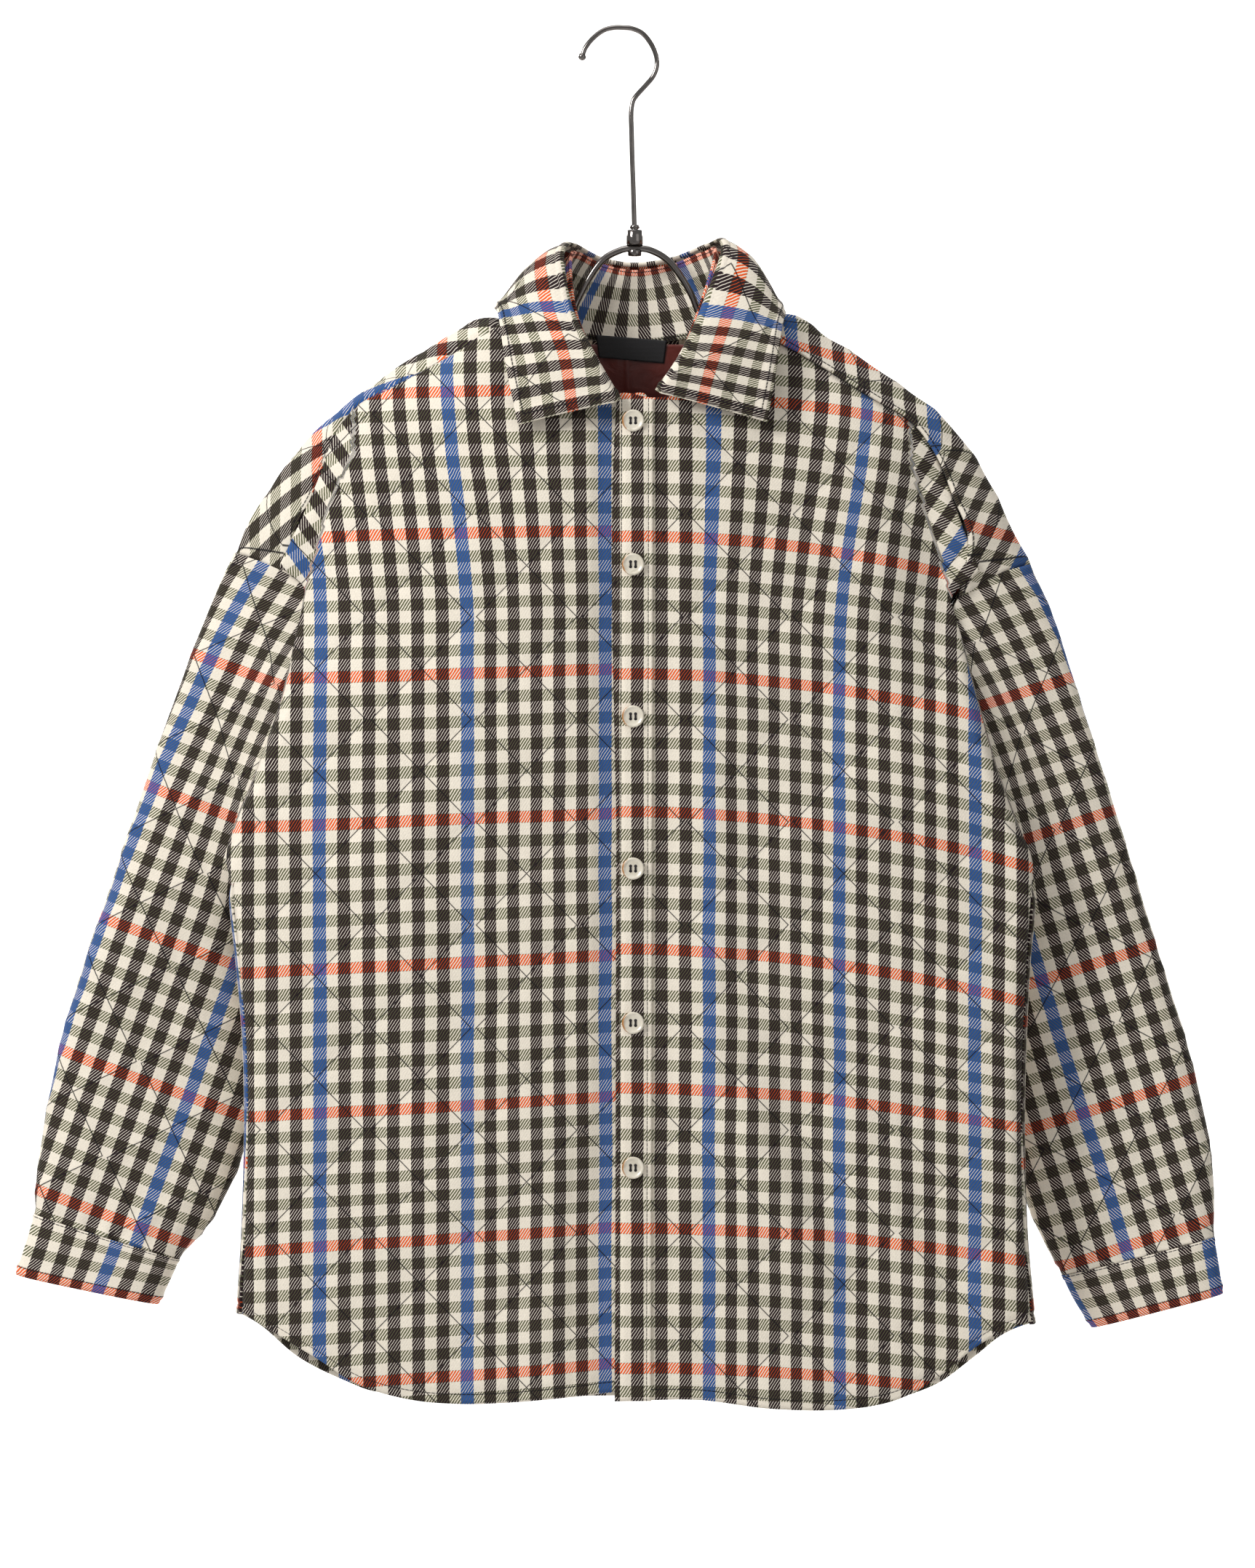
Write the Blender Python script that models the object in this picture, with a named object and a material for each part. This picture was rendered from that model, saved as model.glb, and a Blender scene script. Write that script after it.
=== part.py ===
# Quilted check overshirt hanging on a metal-hook hanger.
# Metres, +Z up. The front faces -Y. The origin is the inside top of the hook.

import math

import bmesh
import bpy
import numpy as np
from mathutils import Vector

# Driving sizes in metres
MM = 0.001                # the tables below are in millimetres
GAP = 0.0003              # clearance between pieces that touch
TRIM = 0.00025            # each panel stops this far before its seam
WALL = 0.0028             # cloth, wadding and lining at a stitch line
SLEEVE_WALL = 0.0018      # the sleeves' thinner wadding
PUFF = 0.0014             # how far a quilted diamond rises over its stitches
QUILT_WIDTH = 0.072
QUILT_HEIGHT = 0.070
PITCH = 0.0215            # spacing of the outer points of the large panels

SHOULDER_ROUND = 0.012    # radius of the cloth over the shoulder ridge
CHEST_DEPTH = 0.036       # how far the front swells past that radius
BACK_DEPTH = 0.016        # how far the back swells past it
SWELL_LENGTH = 0.060      # distance below the ridge over which it swells
SIDE_PLANE = -0.0192      # depth at which the front edge ends
VALLEY_PLANE = -0.0190    # depth of the hollow beside the front fold
PINCH_PLANE = -0.008      # depth to which the back draws in at the sides
SIDE_WRAP = 0.0034        # how far the back comes round to the front
SIDE_ROUND = 0.012        # rounding of the body's side edges
LAP_STEP = 0.0046         # how far the left front steps back under the right

BAND_WIDTH = 0.0245
BAND_THICK = 0.0016
BUTTON_RADIUS = 0.0078
BUTTON_THICK = 0.0034
BUTTON_X = 0.0070
BUTTON_DROPS = (273, 371, 474.5, 578, 683, 781.5)

HOOK_RADIUS = 0.00175
ARM_RADIUS = 0.0045
NECK_DROP = 0.188         # drop at which the bend starts to thicken into the arms
NECK_TAPER = 0.022
BOW_RADIUS = 0.0023       # the thinner bend of the same rod in the open neck

# Ridge of the shoulders: reach from the hook's line, drop below the hook
LEFT_RIDGE = [(-93, 197), (-118, 211), (-151, 231), (-179, 251), (-204, 271),
              (-224, 291), (-239, 311), (-252, 331), (-263, 351), (-267, 361)]
RIGHT_RIDGE = [(111, 194), (136, 211), (168, 231), (196, 251), (222, 271),
               (238, 291), (250, 311), (261, 331), (270, 351), (280, 369)]

# Seam between yoke and front, neck end first: reach, drop
LEFT_YOKE_SEAM = [(-80, 203), (-92, 208), (-111, 222), (-145, 241), (-181, 259),
                  (-198, 281), (-208, 308), (-220, 337), (-236, 371)]
RIGHT_YOKE_SEAM = [(98, 209), (108, 218), (134, 233), (169, 255), (200, 274),
                   (218, 301), (232, 340), (245, 374)]

# Front neckline, shoulder end first, then the front edge of the panel: reach, drop
LEFT_NECK = [(-80, 203), (-79, 222), (-66, 241), (-42, 253), (-12, 257)]
RIGHT_NECK = [(98, 209), (94, 228), (74, 245), (50, 253), (22, 257)]
LEFT_FRONT_EDGE = [(17, 257), (17, 600), (16, 933)]
RIGHT_FRONT_EDGE = [(-4, 257), (-4, 600), (-5.5, 941)]

# Outer edge of the fronts, from the shoulder drop to the hem: reach, drop
LEFT_OUTER = [(-236, 371), (-219, 385), (-220, 397), (-225, 421), (-236, 466), (-252, 512),
              (-268, 552), (-271, 573), (-267, 590), (-262, 640), (-257, 700), (-256, 760),
              (-258, 830), (-260, 881)]
RIGHT_OUTER = [(245, 374), (226, 392), (228, 404), (233, 421), (245, 466), (258, 512),
               (273, 552), (280, 573), (279, 592), (276, 640), (273, 700), (272, 760), (274, 830),
               (279, 887)]

# Fold or side edge of the body: drop, left reach, right reach
BODY_EDGE = [(297, 185, 197), (322, 199, 204), (350, 207, 213), (380, 216, 222),
             (421, 225, 233), (466, 236, 245), (512, 252, 258), (552, 268, 273),
             (575, 275, 284), (600, 271, 284), (640, 267, 281), (700, 262, 278),
             (760, 261, 277), (830, 263, 279), (892, 266, 284)]

# Shirt-tail hem of each front, front edge first: reach, drop
LEFT_HEM = [(16, 933), (-33, 938), (-78, 942), (-112, 943), (-146, 940), (-180, 930),
            (-206, 914), (-236, 896), (-260, 881)]
RIGHT_HEM = [(-5.5, 941), (50, 940), (100, 946), (148, 947), (185, 941), (214, 926),
             (240, 905), (260, 894), (279, 887)]

# Hem of the back, left to right: reach, drop
BACK_HEM = [(-266, 883), (-249, 895), (-225, 917), (-196, 933), (-168, 943), (-60, 946),
            (60, 946), (110, 951), (175, 950), (215, 938), (243, 917), (262, 901), (284, 890)]

# Seam of the back yoke, left armhole to right armhole: reach, drop
BACK_SEAM = [(-214, 402), (-150, 388), (-60, 380), (70, 380), (165, 388), (225, 406)]

# Armhole seam, shoulder drop to underarm, the same on front and back: reach, drop
LEFT_ARMHOLE = [(-267, 361), (-240, 371), (-219, 384), (-214, 402), (-219, 424), (-230, 466),
                (-246, 512), (-260, 552), (-266, 578)]
RIGHT_ARMHOLE = [(280, 369), (254, 377), (234, 388), (225, 406), (227, 424), (239, 466),
                 (252, 512), (266, 552), (275, 580)]

# Sleeve rings: outer reach, outer drop, inner reach, inner drop,
# middle depth, half depth, share of the armhole's curve, squareness at the underarm
LEFT_SLEEVE = [(-267, 361, -266, 578, 4, 21, 1.00, 4.0),
               (-285, 400, -268, 587, 8, 20, 0.70, 3.2),
               (-312, 470, -270, 599, 13, 19, 0.42, 2.8),
               (-336, 538, -269, 614, 18, 18, 0.20, 2.6),
               (-356, 596, -266, 632, 22, 18, 0.08, 2.6),
               (-375, 651, -262, 664, 25, 18, 0.00, 2.6),
               (-389, 698, -258, 702, 27, 18, 0.00, 2.6),
               (-400, 750, -257, 748, 28, 18, 0.00, 2.6),
               (-405, 785, -272, 796, 28, 18, 0.00, 2.6),
               (-407, 803, -290, 828, 27, 17, 0.00, 2.6),
               (-407, 819, -310, 850, 26, 16, 0.00, 2.6)]
RIGHT_SLEEVE = [(280, 369, 275, 580, 4, 21, 1.00, 4.0),
                (296, 404, 278, 589, 8, 20, 0.70, 3.2),
                (318, 470, 281, 601, 13, 19, 0.42, 2.8),
                (340, 538, 281, 616, 18, 18, 0.20, 2.6),
                (358, 596, 279, 634, 22, 18, 0.08, 2.6),
                (375, 651, 275, 668, 25, 18, 0.00, 2.6),
                (390, 698, 272, 706, 27, 18, 0.00, 2.6),
                (403, 750, 272, 756, 28, 18, 0.00, 2.6),
                (409, 790, 281, 806, 28, 18, 0.00, 2.6),
                (410, 814, 294, 840, 27, 17, 0.00, 2.6),
                (409, 835, 307, 861, 26, 16, 0.00, 2.6)]

# Cuff rings, seam first, in the same columns
LEFT_CUFF = [(-407, 819.4, -310, 850.4, 26, 16, 0, 2.6),
             (-413, 840, -315, 862, 25, 16, 0, 2.6),
             (-420, 861, -324, 881, 24, 16, 0, 2.6)]
RIGHT_CUFF = [(409, 835.4, 307, 861.4, 26, 16, 0, 2.6),
              (412, 854, 315, 878, 25, 16, 0, 2.6),
              (415, 874, 327, 897, 24, 16, 0, 2.6)]

# Soft folds of the front: reach and drop of each end, half width, height to the front
FRONT_FOLDS = [(72, 715, 135, 870, 18, 4.0),
               (104, 700, 166, 880, 20, -3.5),
               (85, 386, 140, 520, 30, -4.0),
               (178, 790, 209, 870, 12, 3.5),
               (62, 470, 60, 740, 16, 3.0),
               (-20, 740, -28, 940, 16, -4.0),
               (-150, 520, -120, 800, 45, 3.0)]

# Soft folds of the back, with heights to the back
BACK_FOLDS = [(-120, 430, -150, 800, 24, 4.5), (-55, 410, -70, 860, 20, -3.5),
              (40, 420, 50, 900, 22, 4.0), (115, 430, 150, 850, 26, -3.5)]

# Collar stations round the neck, left front to right front.
# roll: reach, depth, drop; edge: reach, depth, drop; bulge of the fall between them
COLLAR = [(-3, -50, 258, -75, -48, 270, 1.0),
          (-20, -49, 231, -79, -45, 236, 3.0),
          (-36, -36, 197, -84, -33, 202, 5.0),
          (-42, -14, 158, -86, -14, 195, 6.0),
          (-38, 10, 150, -78, 26, 200, 7.0),
          (-18, 27, 158, -44, 42, 224, 8.0),
          (8, 31, 162, 8, 45, 232, 8.0),
          (38, 27, 158, 64, 42, 224, 8.0),
          (62, 10, 152, 98, 26, 196, 7.0),
          (68, -14, 162, 109, -14, 196, 6.0),
          (54, -38, 200, 108, -33, 210, 5.0),
          (40, -49, 231, 104, -43, 240, 3.0),
          (24, -50, 255, 98, -46, 274, 1.0)]

# Neck seam under the collar stand, in the same stations: reach, depth, drop
STAND_SEAM = [(0, -37, 250), (-33, -35, 243), (-58, -27, 229), (-66, -15, 211),
              (-58, 4, 203), (-38, 14, 210), (8, 17.6, 215.6), (54, 14, 210),
              (76, 4, 205), (84, -15, 214), (77, -27, 232), (50, -35, 245), (21, -37, 250)]

# Hook of the hanger, ball end first: reach, drop
HOOK_PATH = [(-28, 18), (-26, 12.5), (-20.5, 5.5), (-13, 0.0), (-6, -1.75), (0, -1.75),
             (6, -1.2), (13.5, 2.2), (19.5, 9.5), (23, 17.5), (23.5, 24.5), (21, 31.7),
             (15.5, 38.5), (10, 44.5), (7, 49), (5.8, 56.5), (6, 68.5), (6.5, 88.5),
             (7.2, 108), (8, 134)]

# Bow and arms of the hanger, left end to right end: reach, drop
BOW_PATH = [(-198, 281), (-179, 264), (-151, 244), (-118, 225), (-90, 219), (-60, 213),
            (-37, 197), (-31, 186), (-23, 171), (-13, 158), (0, 151.4), (8, 150.7),
            (18, 151.6), (30, 158), (40, 170), (48, 184), (54, 197), (76, 214),
            (106, 220), (136, 228), (168, 245), (194, 264), (214, 282)]


def clear_scene():
    for old in list(bpy.data.objects):
        bpy.data.objects.remove(old, do_unlink=True)


def finish(name, color, roughness, metallic=0.0):
    """One plain material for a sub-part."""
    material = bpy.data.materials.new(name)
    material.use_nodes = True
    shader = material.node_tree.nodes["Principled BSDF"]
    shader.inputs["Base Color"].default_value = (*color, 1.0)
    shader.inputs["Roughness"].default_value = roughness
    shader.inputs["Metallic"].default_value = metallic
    return material


def keep(bm, name, material, smooth=True):
    """Turns a finished bmesh into a named object."""
    bmesh.ops.recalc_face_normals(bm, faces=bm.faces)
    mesh = bpy.data.meshes.new(name)
    bm.to_mesh(mesh)
    bm.free()
    part = bpy.data.objects.new(name, mesh)
    bpy.context.collection.objects.link(part)
    mesh.materials.append(material)
    if smooth:
        mesh.shade_smooth()
    return part


def soft_step(value):
    value = min(max(value, 0.0), 1.0)
    return value * value * (3.0 - 2.0 * value)


def hermite(knots, values, key):
    """Smooth value at key of a table column over rising knots."""
    last = len(knots) - 1
    key = min(max(key, knots[0]), knots[last])
    i = min(int(np.searchsorted(knots, key, side="right")) - 1, last - 1)

    def slope(k):
        low, high = max(k - 1, 0), min(k + 1, last)
        return (values[high] - values[low]) / (knots[high] - knots[low])

    span = knots[i + 1] - knots[i]
    f = (key - knots[i]) / span
    return ((2 * f ** 3 - 3 * f ** 2 + 1) * values[i] + (f ** 3 - 2 * f ** 2 + f) * span * slope(i)
            + (3 * f ** 2 - 2 * f ** 3) * values[i + 1] + (f ** 3 - f ** 2) * span * slope(i + 1))


class Path:
    """A smooth line through a table's rows, read by its share of length."""

    def __init__(self, rows, scale=MM):
        self.rows = np.array(rows, dtype=float) * scale
        steps = np.linalg.norm(np.diff(self.rows, axis=0), axis=1)
        self.knots = np.concatenate([[0.0], np.cumsum(steps)])
        self.length = self.knots[-1]

    def at(self, share):
        key = share * self.length
        return np.array([hermite(self.knots, self.rows[:, k], key)
                         for k in range(self.rows.shape[1])])


def flat(rows):
    """Table rows of reach and drop as points x, z."""
    return [(reach, -drop) for reach, drop in rows]


class Patch:
    """A four-sided stretch of cloth between its top, bottom, inner and outer lines."""

    def __init__(self, top, bottom, inner, outer):
        self.top, self.bottom, self.inner, self.outer = top, bottom, inner, outer
        self.corners = (top.at(0), top.at(1), bottom.at(0), bottom.at(1))

    def at(self, s, t):
        a, b, c, d = self.corners
        blend = ((1 - s) * (1 - t) * a + s * (1 - t) * b + (1 - s) * t * c + s * t * d)
        return ((1 - t) * self.top.at(s) + t * self.bottom.at(s)
                + (1 - s) * self.inner.at(t) + s * self.outer.at(t) - blend)


ridge_lines = [Path(flat(LEFT_RIDGE)), Path(flat(RIGHT_RIDGE))]
RIDGE_POINTS = np.array([line.at(k / 40) for line in ridge_lines for k in range(41)])
EDGE = np.array(BODY_EDGE, dtype=float) * MM


def ridge_distance(x, z):
    return float(np.min(np.hypot(RIDGE_POINTS[:, 0] - x, RIDGE_POINTS[:, 1] - z)))


def body_edge(x, z):
    """Half width of the body at a height, on the side that x is on."""
    column = 1 if x < 0 else 2
    return hermite(EDGE[:, 0], EDGE[:, column], -z)


def shoulder_profile(distance, swell):
    near = min(distance, SHOULDER_ROUND) / SHOULDER_ROUND
    arc = SHOULDER_ROUND * math.sqrt(max(0.0, 1.0 - (1.0 - near) ** 2))
    return arc + swell * (1.0 - math.exp(-distance / SWELL_LENGTH))


def fold_height(folds, x, z):
    """Sum of the soft folds: ridges are positive, troughs negative."""
    total = 0.0
    for x0, drop0, x1, drop1, half, height in folds:
        start = np.array([x0, -drop0]) * MM
        run = np.array([x1, -drop1]) * MM - start
        share = float(np.dot((x, z) - start, run) / np.dot(run, run))
        inside = soft_step((share + 0.15) / 0.4) * soft_step((1.2 - share) / 0.4)
        across = float(np.linalg.norm((x, z) - start - share * run)) / (half * MM)
        total += height * MM * inside * math.exp(-across * across)
    return total


def front_depth(x, z):
    """Outer depth of the front over the point x, z."""
    edge = body_edge(x, z)
    thin = soft_step((abs(x) - 0.170) / 0.070) * soft_step((z + 0.470) / 0.080)
    swell = CHEST_DEPTH * (1.0 - 0.8 * thin)
    crown = 1.0 - 0.22 * min(abs(x) / edge, 1.0) ** 2
    y = -shoulder_profile(ridge_distance(x, z), swell * crown)
    y -= fold_height(FRONT_FOLDS, x, z) * soft_step((edge - abs(x)) / 0.030)
    fold = soft_step((-z - 0.297) / 0.045)
    if abs(x) > edge:
        return y + (VALLEY_PLANE - y) * fold
    rounding = min(SIDE_ROUND, 0.009 + 0.004 * soft_step((-z - 0.38) / 0.1))
    turn = min(max((abs(x) - edge + rounding) / rounding, 0.0), 1.0)
    return y + (SIDE_PLANE - y) * fold * (1.0 - math.sqrt(1.0 - turn * turn))


def back_depth(x, z):
    """Outer depth of the back over the point x, z."""
    edge = body_edge(x, z)
    y = shoulder_profile(ridge_distance(x, z), BACK_DEPTH)
    share = min(abs(x) / edge, 1.0)
    y -= (y - PINCH_PLANE) * soft_step((-z - 0.530) / 0.050) * share ** 4
    y += fold_height(BACK_FOLDS, x, z) * soft_step((edge - abs(x)) / 0.080)
    turn = min(max((abs(x) - edge + SIDE_ROUND) / SIDE_ROUND, 0.0), 1.0)
    drop = (1.0 - math.sqrt(1.0 - turn * turn)) * soft_step((-z - 0.555) / 0.020)
    return y + (SIDE_PLANE - y) * drop


def quilt(u, v):
    """Rise of the quilted diamonds at a point of the cloth, 0 on the stitches."""
    slant_up = u / QUILT_WIDTH + v / QUILT_HEIGHT
    slant_down = u / QUILT_WIDTH - v / QUILT_HEIGHT
    off = min(abs(slant_up - round(slant_up)), abs(slant_down - round(slant_down)))
    return PUFF * math.sin(math.pi * off)


def even(count):
    return max(2, 2 * round(count / 2))


def shares(count, low=0.0, high=1.0):
    return [low + (high - low) * k / count for k in range(count + 1)]


def wall(name, place, cols, rows, material, puff=None, thick=WALL, loop=False, side=1):
    """A closed cloth wall: fine raised outer points over a plain, coarser inside.

    side is 1 where s, t and the way out make a right-handed set, else -1.
    """
    step = 1e-4

    def outward(s, t):
        along_s = place(s + step, t) - place(s - step, t)
        along_t = place(s, t + step) - place(s, t - step)
        return side * Vector(along_s).cross(Vector(along_t)).normalized()

    bm = bmesh.new()
    count_s, count_t = len(cols), len(rows)
    outer, inner = {}, {}
    for i, s in enumerate(cols):
        for j, t in enumerate(rows):
            base, normal = Vector(place(s, t)), outward(s, t)
            border = j in (0, count_t - 1) or (not loop and i in (0, count_s - 1))
            rise = 0.0 if border or puff is None else puff(s, t)
            outer[i, j] = bm.verts.new(base + normal * rise)
            if i % 2 == 0 and j % 2 == 0:
                inner[i, j] = bm.verts.new(base - normal * thick)
    if loop:
        for j in range(count_t):
            outer[count_s, j] = outer[0, j]
            if j % 2 == 0:
                inner[count_s, j] = inner[0, j]
    end_s = count_s if loop else count_s - 1
    for i in range(end_s):
        for j in range(count_t - 1):
            corner = [outer[i, j], outer[i + 1, j], outer[i + 1, j + 1], outer[i, j + 1]]
            turn = (i + j) % 2
            bm.faces.new([corner[turn], corner[turn + 1], corner[turn + 2]])
            bm.faces.new([corner[turn], corner[turn + 2], corner[(turn + 3) % 4]])
    for i in range(0, end_s, 2):
        for j in range(0, count_t - 1, 2):
            a, b, c, d = inner[i, j], inner[i, j + 2], inner[i + 2, j + 2], inner[i + 2, j]
            bm.faces.new([a, b, c])
            bm.faces.new([a, c, d])
    borders = [[(i, 0) for i in range(end_s + 1)],
               [(i, count_t - 1) for i in range(end_s, -1, -1)]]
    if not loop:
        borders += [[(0, j) for j in range(count_t - 1, -1, -1)],
                    [(end_s, j) for j in range(count_t)]]
    for border in borders:
        for k in range(0, len(border) - 1, 2):
            first, middle, last = border[k:k + 3]
            bm.faces.new([outer[middle], outer[first], inner[first]])
            bm.faces.new([outer[middle], inner[first], inner[last]])
            bm.faces.new([outer[last], outer[middle], inner[last]])
    return keep(bm, name, material)


def front_panel(name, side, seam, neck, front_edge, outer, hem, material):
    """One front: placket edge to side seam, yoke seam to hem."""
    patch = Patch(Path(flat(seam)), Path(flat(hem)), Path(flat(neck + front_edge)),
                  Path(flat(outer)))
    width, length = patch.bottom.length, patch.inner.length
    lapped = side < 0

    def place(s, t):
        x, z = patch.at(s, t)
        y = front_depth(x, z)
        if lapped:
            y += LAP_STEP * soft_step((x + 0.026) / 0.015)
        return np.array((x, y, z))

    def puff(s, t):
        x, z = patch.at(s, t)
        near_band = abs(x) < 0.034
        return 0.0 if near_band else quilt(x, z)

    trim_s, trim_t = TRIM / width, 6 * TRIM / length
    plain = shares(even(width / PITCH), trim_s, 0.955)
    cols = plain + [0.979, 1 - trim_s]
    rows = shares(even(length / PITCH), trim_t, 1 - trim_t)
    return wall(name, place, cols, rows, material, puff, side=-side)


def button_band(name, material):
    """Folded band stitched along the right front's edge, over its full height."""
    top, bottom = -0.2575, -0.9405
    clear = 3 * GAP + BAND_THICK

    def place(s, t):
        z = top + (bottom - top) * t
        x = -0.0038 - 0.0015 * t + BAND_WIDTH * s
        return np.array((x, front_depth(x, z) - clear, z))

    rows = shares(30, 0.0, 1.0)
    return wall(name, place, shares(4), rows, material, thick=BAND_THICK, side=-1)


def back_panel(name, material):
    """The back, wrapped a little way round both side edges to the front."""
    seam, hem = Path(flat(BACK_SEAM)), Path(flat(BACK_HEM))
    reach = 0.02              # share of the columns that lie past each side edge

    def side_line(armhole, column, sign):
        rows = [row for row in armhole if row[1] >= 402]
        rows += [(sign * (reach[column] - 0.5), reach[0]) for reach in BODY_EDGE
                 if 580 < reach[0] < 880]
        return rows + [(BACK_HEM[0] if sign < 0 else BACK_HEM[-1])]

    left = Path(flat(side_line(LEFT_ARMHOLE, 1, -1)))
    right = Path(flat(side_line(RIGHT_ARMHOLE, 2, 1)))
    patch = Patch(seam, hem, left, right)

    def spot(s, t):
        """Point of the flat panel, and how far it lies round the side edge."""
        low = soft_step((-patch.outer.at(t)[1] - 0.574) / 0.012)
        squeezed = (s + reach) / (1 + 2 * reach)
        share = s * low + squeezed * (1 - low)
        wrap = max(-s, s - 1.0, 0.0) / reach * low
        x, z = patch.at(min(max(share, 0.0), 1.0), t)
        return x, z, wrap

    def place(s, t):
        x, z, wrap = spot(s, t)
        if wrap <= 0.0:
            return np.array((x, back_depth(x, z), z))
        x -= math.copysign(SIDE_WRAP * wrap ** 1.5, x)
        y = SIDE_PLANE + (front_depth(x, z) - SIDE_PLANE) * soft_step(wrap * 1.4)
        return np.array((x, y, z))

    def puff(s, t):
        x, z, wrap = spot(s, t)
        return quilt(x, z) if wrap <= 0.0 else 0.0

    cols = [-0.0195, -0.012, -0.005, 0.004, 0.016, 0.040]
    cols += shares(even(0.47 / PITCH), 0.075, 0.925)
    cols += [0.960, 0.984, 0.996, 1.005, 1.012, 1.0195]
    rows = shares(even(patch.inner.length / PITCH), 0.0008, 1.0)
    return wall(name, place, cols, rows, material, puff)


def ring_point(sleeve, armhole, s, t):
    """Point of a sleeve: s runs round from the outer edge over the front, t down it."""
    rows = np.array(sleeve, dtype=float)
    knots = np.arange(len(rows), dtype=float)
    row = [hermite(knots, rows[:, k], t * (len(rows) - 1)) for k in range(rows.shape[1])]
    outer, inner = np.array((row[0], -row[1])) * MM, np.array((row[2], -row[3])) * MM
    turn = 2 * math.pi * s
    share = (1 - math.cos(turn)) / 2
    flatness = 3.5 if share < 0.5 else row[7]
    depth = (1 - min(abs(math.cos(turn)), 1.0) ** flatness) ** (1 / flatness)
    front = -1 if math.sin(turn) > 0 else 1
    middle = outer + (inner - outer) * share
    drop = armhole[0, 1] + (armhole[-1, 1] - armhole[0, 1]) * share
    straight = armhole[0, 0] + (armhole[-1, 0] - armhole[0, 0]) * share
    middle[0] += row[6] * (hermite(armhole[:, 1], armhole[:, 0], drop) - straight)
    return np.array((middle[0], (row[4] + front * row[5] * depth) * MM, middle[1]))


def sleeve_tube(name, sleeve, armhole_rows, cols, rows, material, trim, mirrored):
    """A tube of cloth through the table's rings."""
    armhole = np.array(armhole_rows, dtype=float) * MM
    length = float(np.hypot(sleeve[-1][0] - sleeve[0][0], sleeve[-1][1] - sleeve[0][1])) * MM
    girth = 0.36

    def place(s, t):
        return ring_point(sleeve, armhole, s, t)

    def puff(s, t):
        return quilt(s * girth, t * length) if trim > 0.0 else 0.0

    sides = [k / cols for k in range(cols)]
    runs = shares(rows, trim, 1 - trim / 4)
    return wall(name, place, sides, runs, material, puff, thick=SLEEVE_WALL, loop=True,
                side=1 if mirrored else -1)


def yoke_panel(name, material):
    """Back yoke, over the shoulder ridges down to the front seams."""
    left_seam, right_seam = Path(flat(LEFT_YOKE_SEAM)), Path(flat(RIGHT_YOKE_SEAM))
    back_seam = Path(flat(BACK_SEAM))
    armholes = [np.array(rows, dtype=float) * MM for rows in (LEFT_ARMHOLE, RIGHT_ARMHOLE)]
    over = (0.0, 0.16, 0.30, 0.44, 0.60, 0.80, 1.0)

    def shoulder_column(side, share):
        """Control points from the front seam over the ridge, share 0 at the neck."""
        seam = (left_seam, right_seam)[side]
        ridge = ridge_lines[side].at(share)
        x0, z0 = seam.at(share)
        target = back_seam.at(0.5 + (side * 2 - 1) * (0.14 + 0.36 * share))
        down = ridge + (target - ridge) * 0.16
        lower = ridge + (target - ridge) * 0.5
        top = np.array((x0, z0)) + (ridge - (x0, z0)) * 0.72
        return [(x0, front_depth(x0, z0), z0),
                (top[0], -SHOULDER_ROUND * 0.72, top[1]),
                (ridge[0], 0.0, ridge[1]),
                (ridge[0] + (down[0] - ridge[0]) * 0.5, 0.0105, ridge[1] - 0.006),
                (down[0], back_depth(*down), down[1]),
                (lower[0], back_depth(*lower), lower[1]),
                (target[0], back_depth(*target), target[1])]

    def drop_column(side):
        """The yoke's end along the armhole seam."""
        sleeve = (LEFT_SLEEVE, RIGHT_SLEEVE)[side]
        turns = (0.108, 0.055, 0.0, -0.045, -0.085, -0.115, -0.139)
        inward = np.array((0.0018 * (1 - 2 * side), 0.0, 0.0012))
        return [tuple(ring_point(sleeve, armholes[side], turn % 1.0, 0.0) + inward)
                for turn in turns]

    neck_side = [[(x * MM, y * MM, -drop * MM) for x, y, drop in rows] for rows in (
        [(-79, 4, 199), (-77, 9, 201), (-75, 14, 204), (-73, 19, 214), (-68, 23, 240),
         (-58, 26, 310), (-50, 27.5, 381)],
        [(103, 3, 196), (99, 9, 198), (95, 14, 203), (90, 19, 214), (84, 23, 240),
         (74, 26, 310), (66, 27.5, 381)])]
    centre = [(0.008, y * MM, -drop * MM) for y, drop in (
        (19.5, 217), (21, 226), (22, 238), (24, 255), (26, 285), (27.5, 325), (28, 380))]

    stations = []
    for side in (0, 1):
        columns = [drop_column(side)]
        columns += [shoulder_column(side, share)
                    for share in (0.90, 0.77, 0.64, 0.51, 0.38, 0.25, 0.13, 0.03)]
        columns += [neck_side[side]]
        middle = [(0.5 * a[0] + 0.5 * c[0], 0.2 * a[1] + 0.8 * c[1], 0.2 * a[2] + 0.8 * c[2])
                  for a, c in zip(neck_side[side], centre)]
        columns.append(middle)
        stations.append(columns)
    grid = np.array(stations[0] + [centre] + stations[1][::-1])
    across = np.arange(len(grid), dtype=float)
    knots = np.array(over)

    def place(s, t):
        lines = [[hermite(across, grid[:, k, axis], s * (len(grid) - 1)) for axis in range(3)]
                 for k in range(len(over))]
        return np.array([hermite(knots, [line[axis] for line in lines], t) for axis in range(3)])

    def puff(s, t):
        x, y, z = place(s, t)
        return quilt(x, z - y) if t > 0.3 else 0.0

    cols = shares(42, 0.0010, 0.9990)
    rows = [0.035, 0.09, 0.16, 0.24, 0.32, 0.42, 0.52, 0.64, 0.76, 0.88, 0.988]
    return wall(name, place, cols, rows, material, puff)


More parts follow.
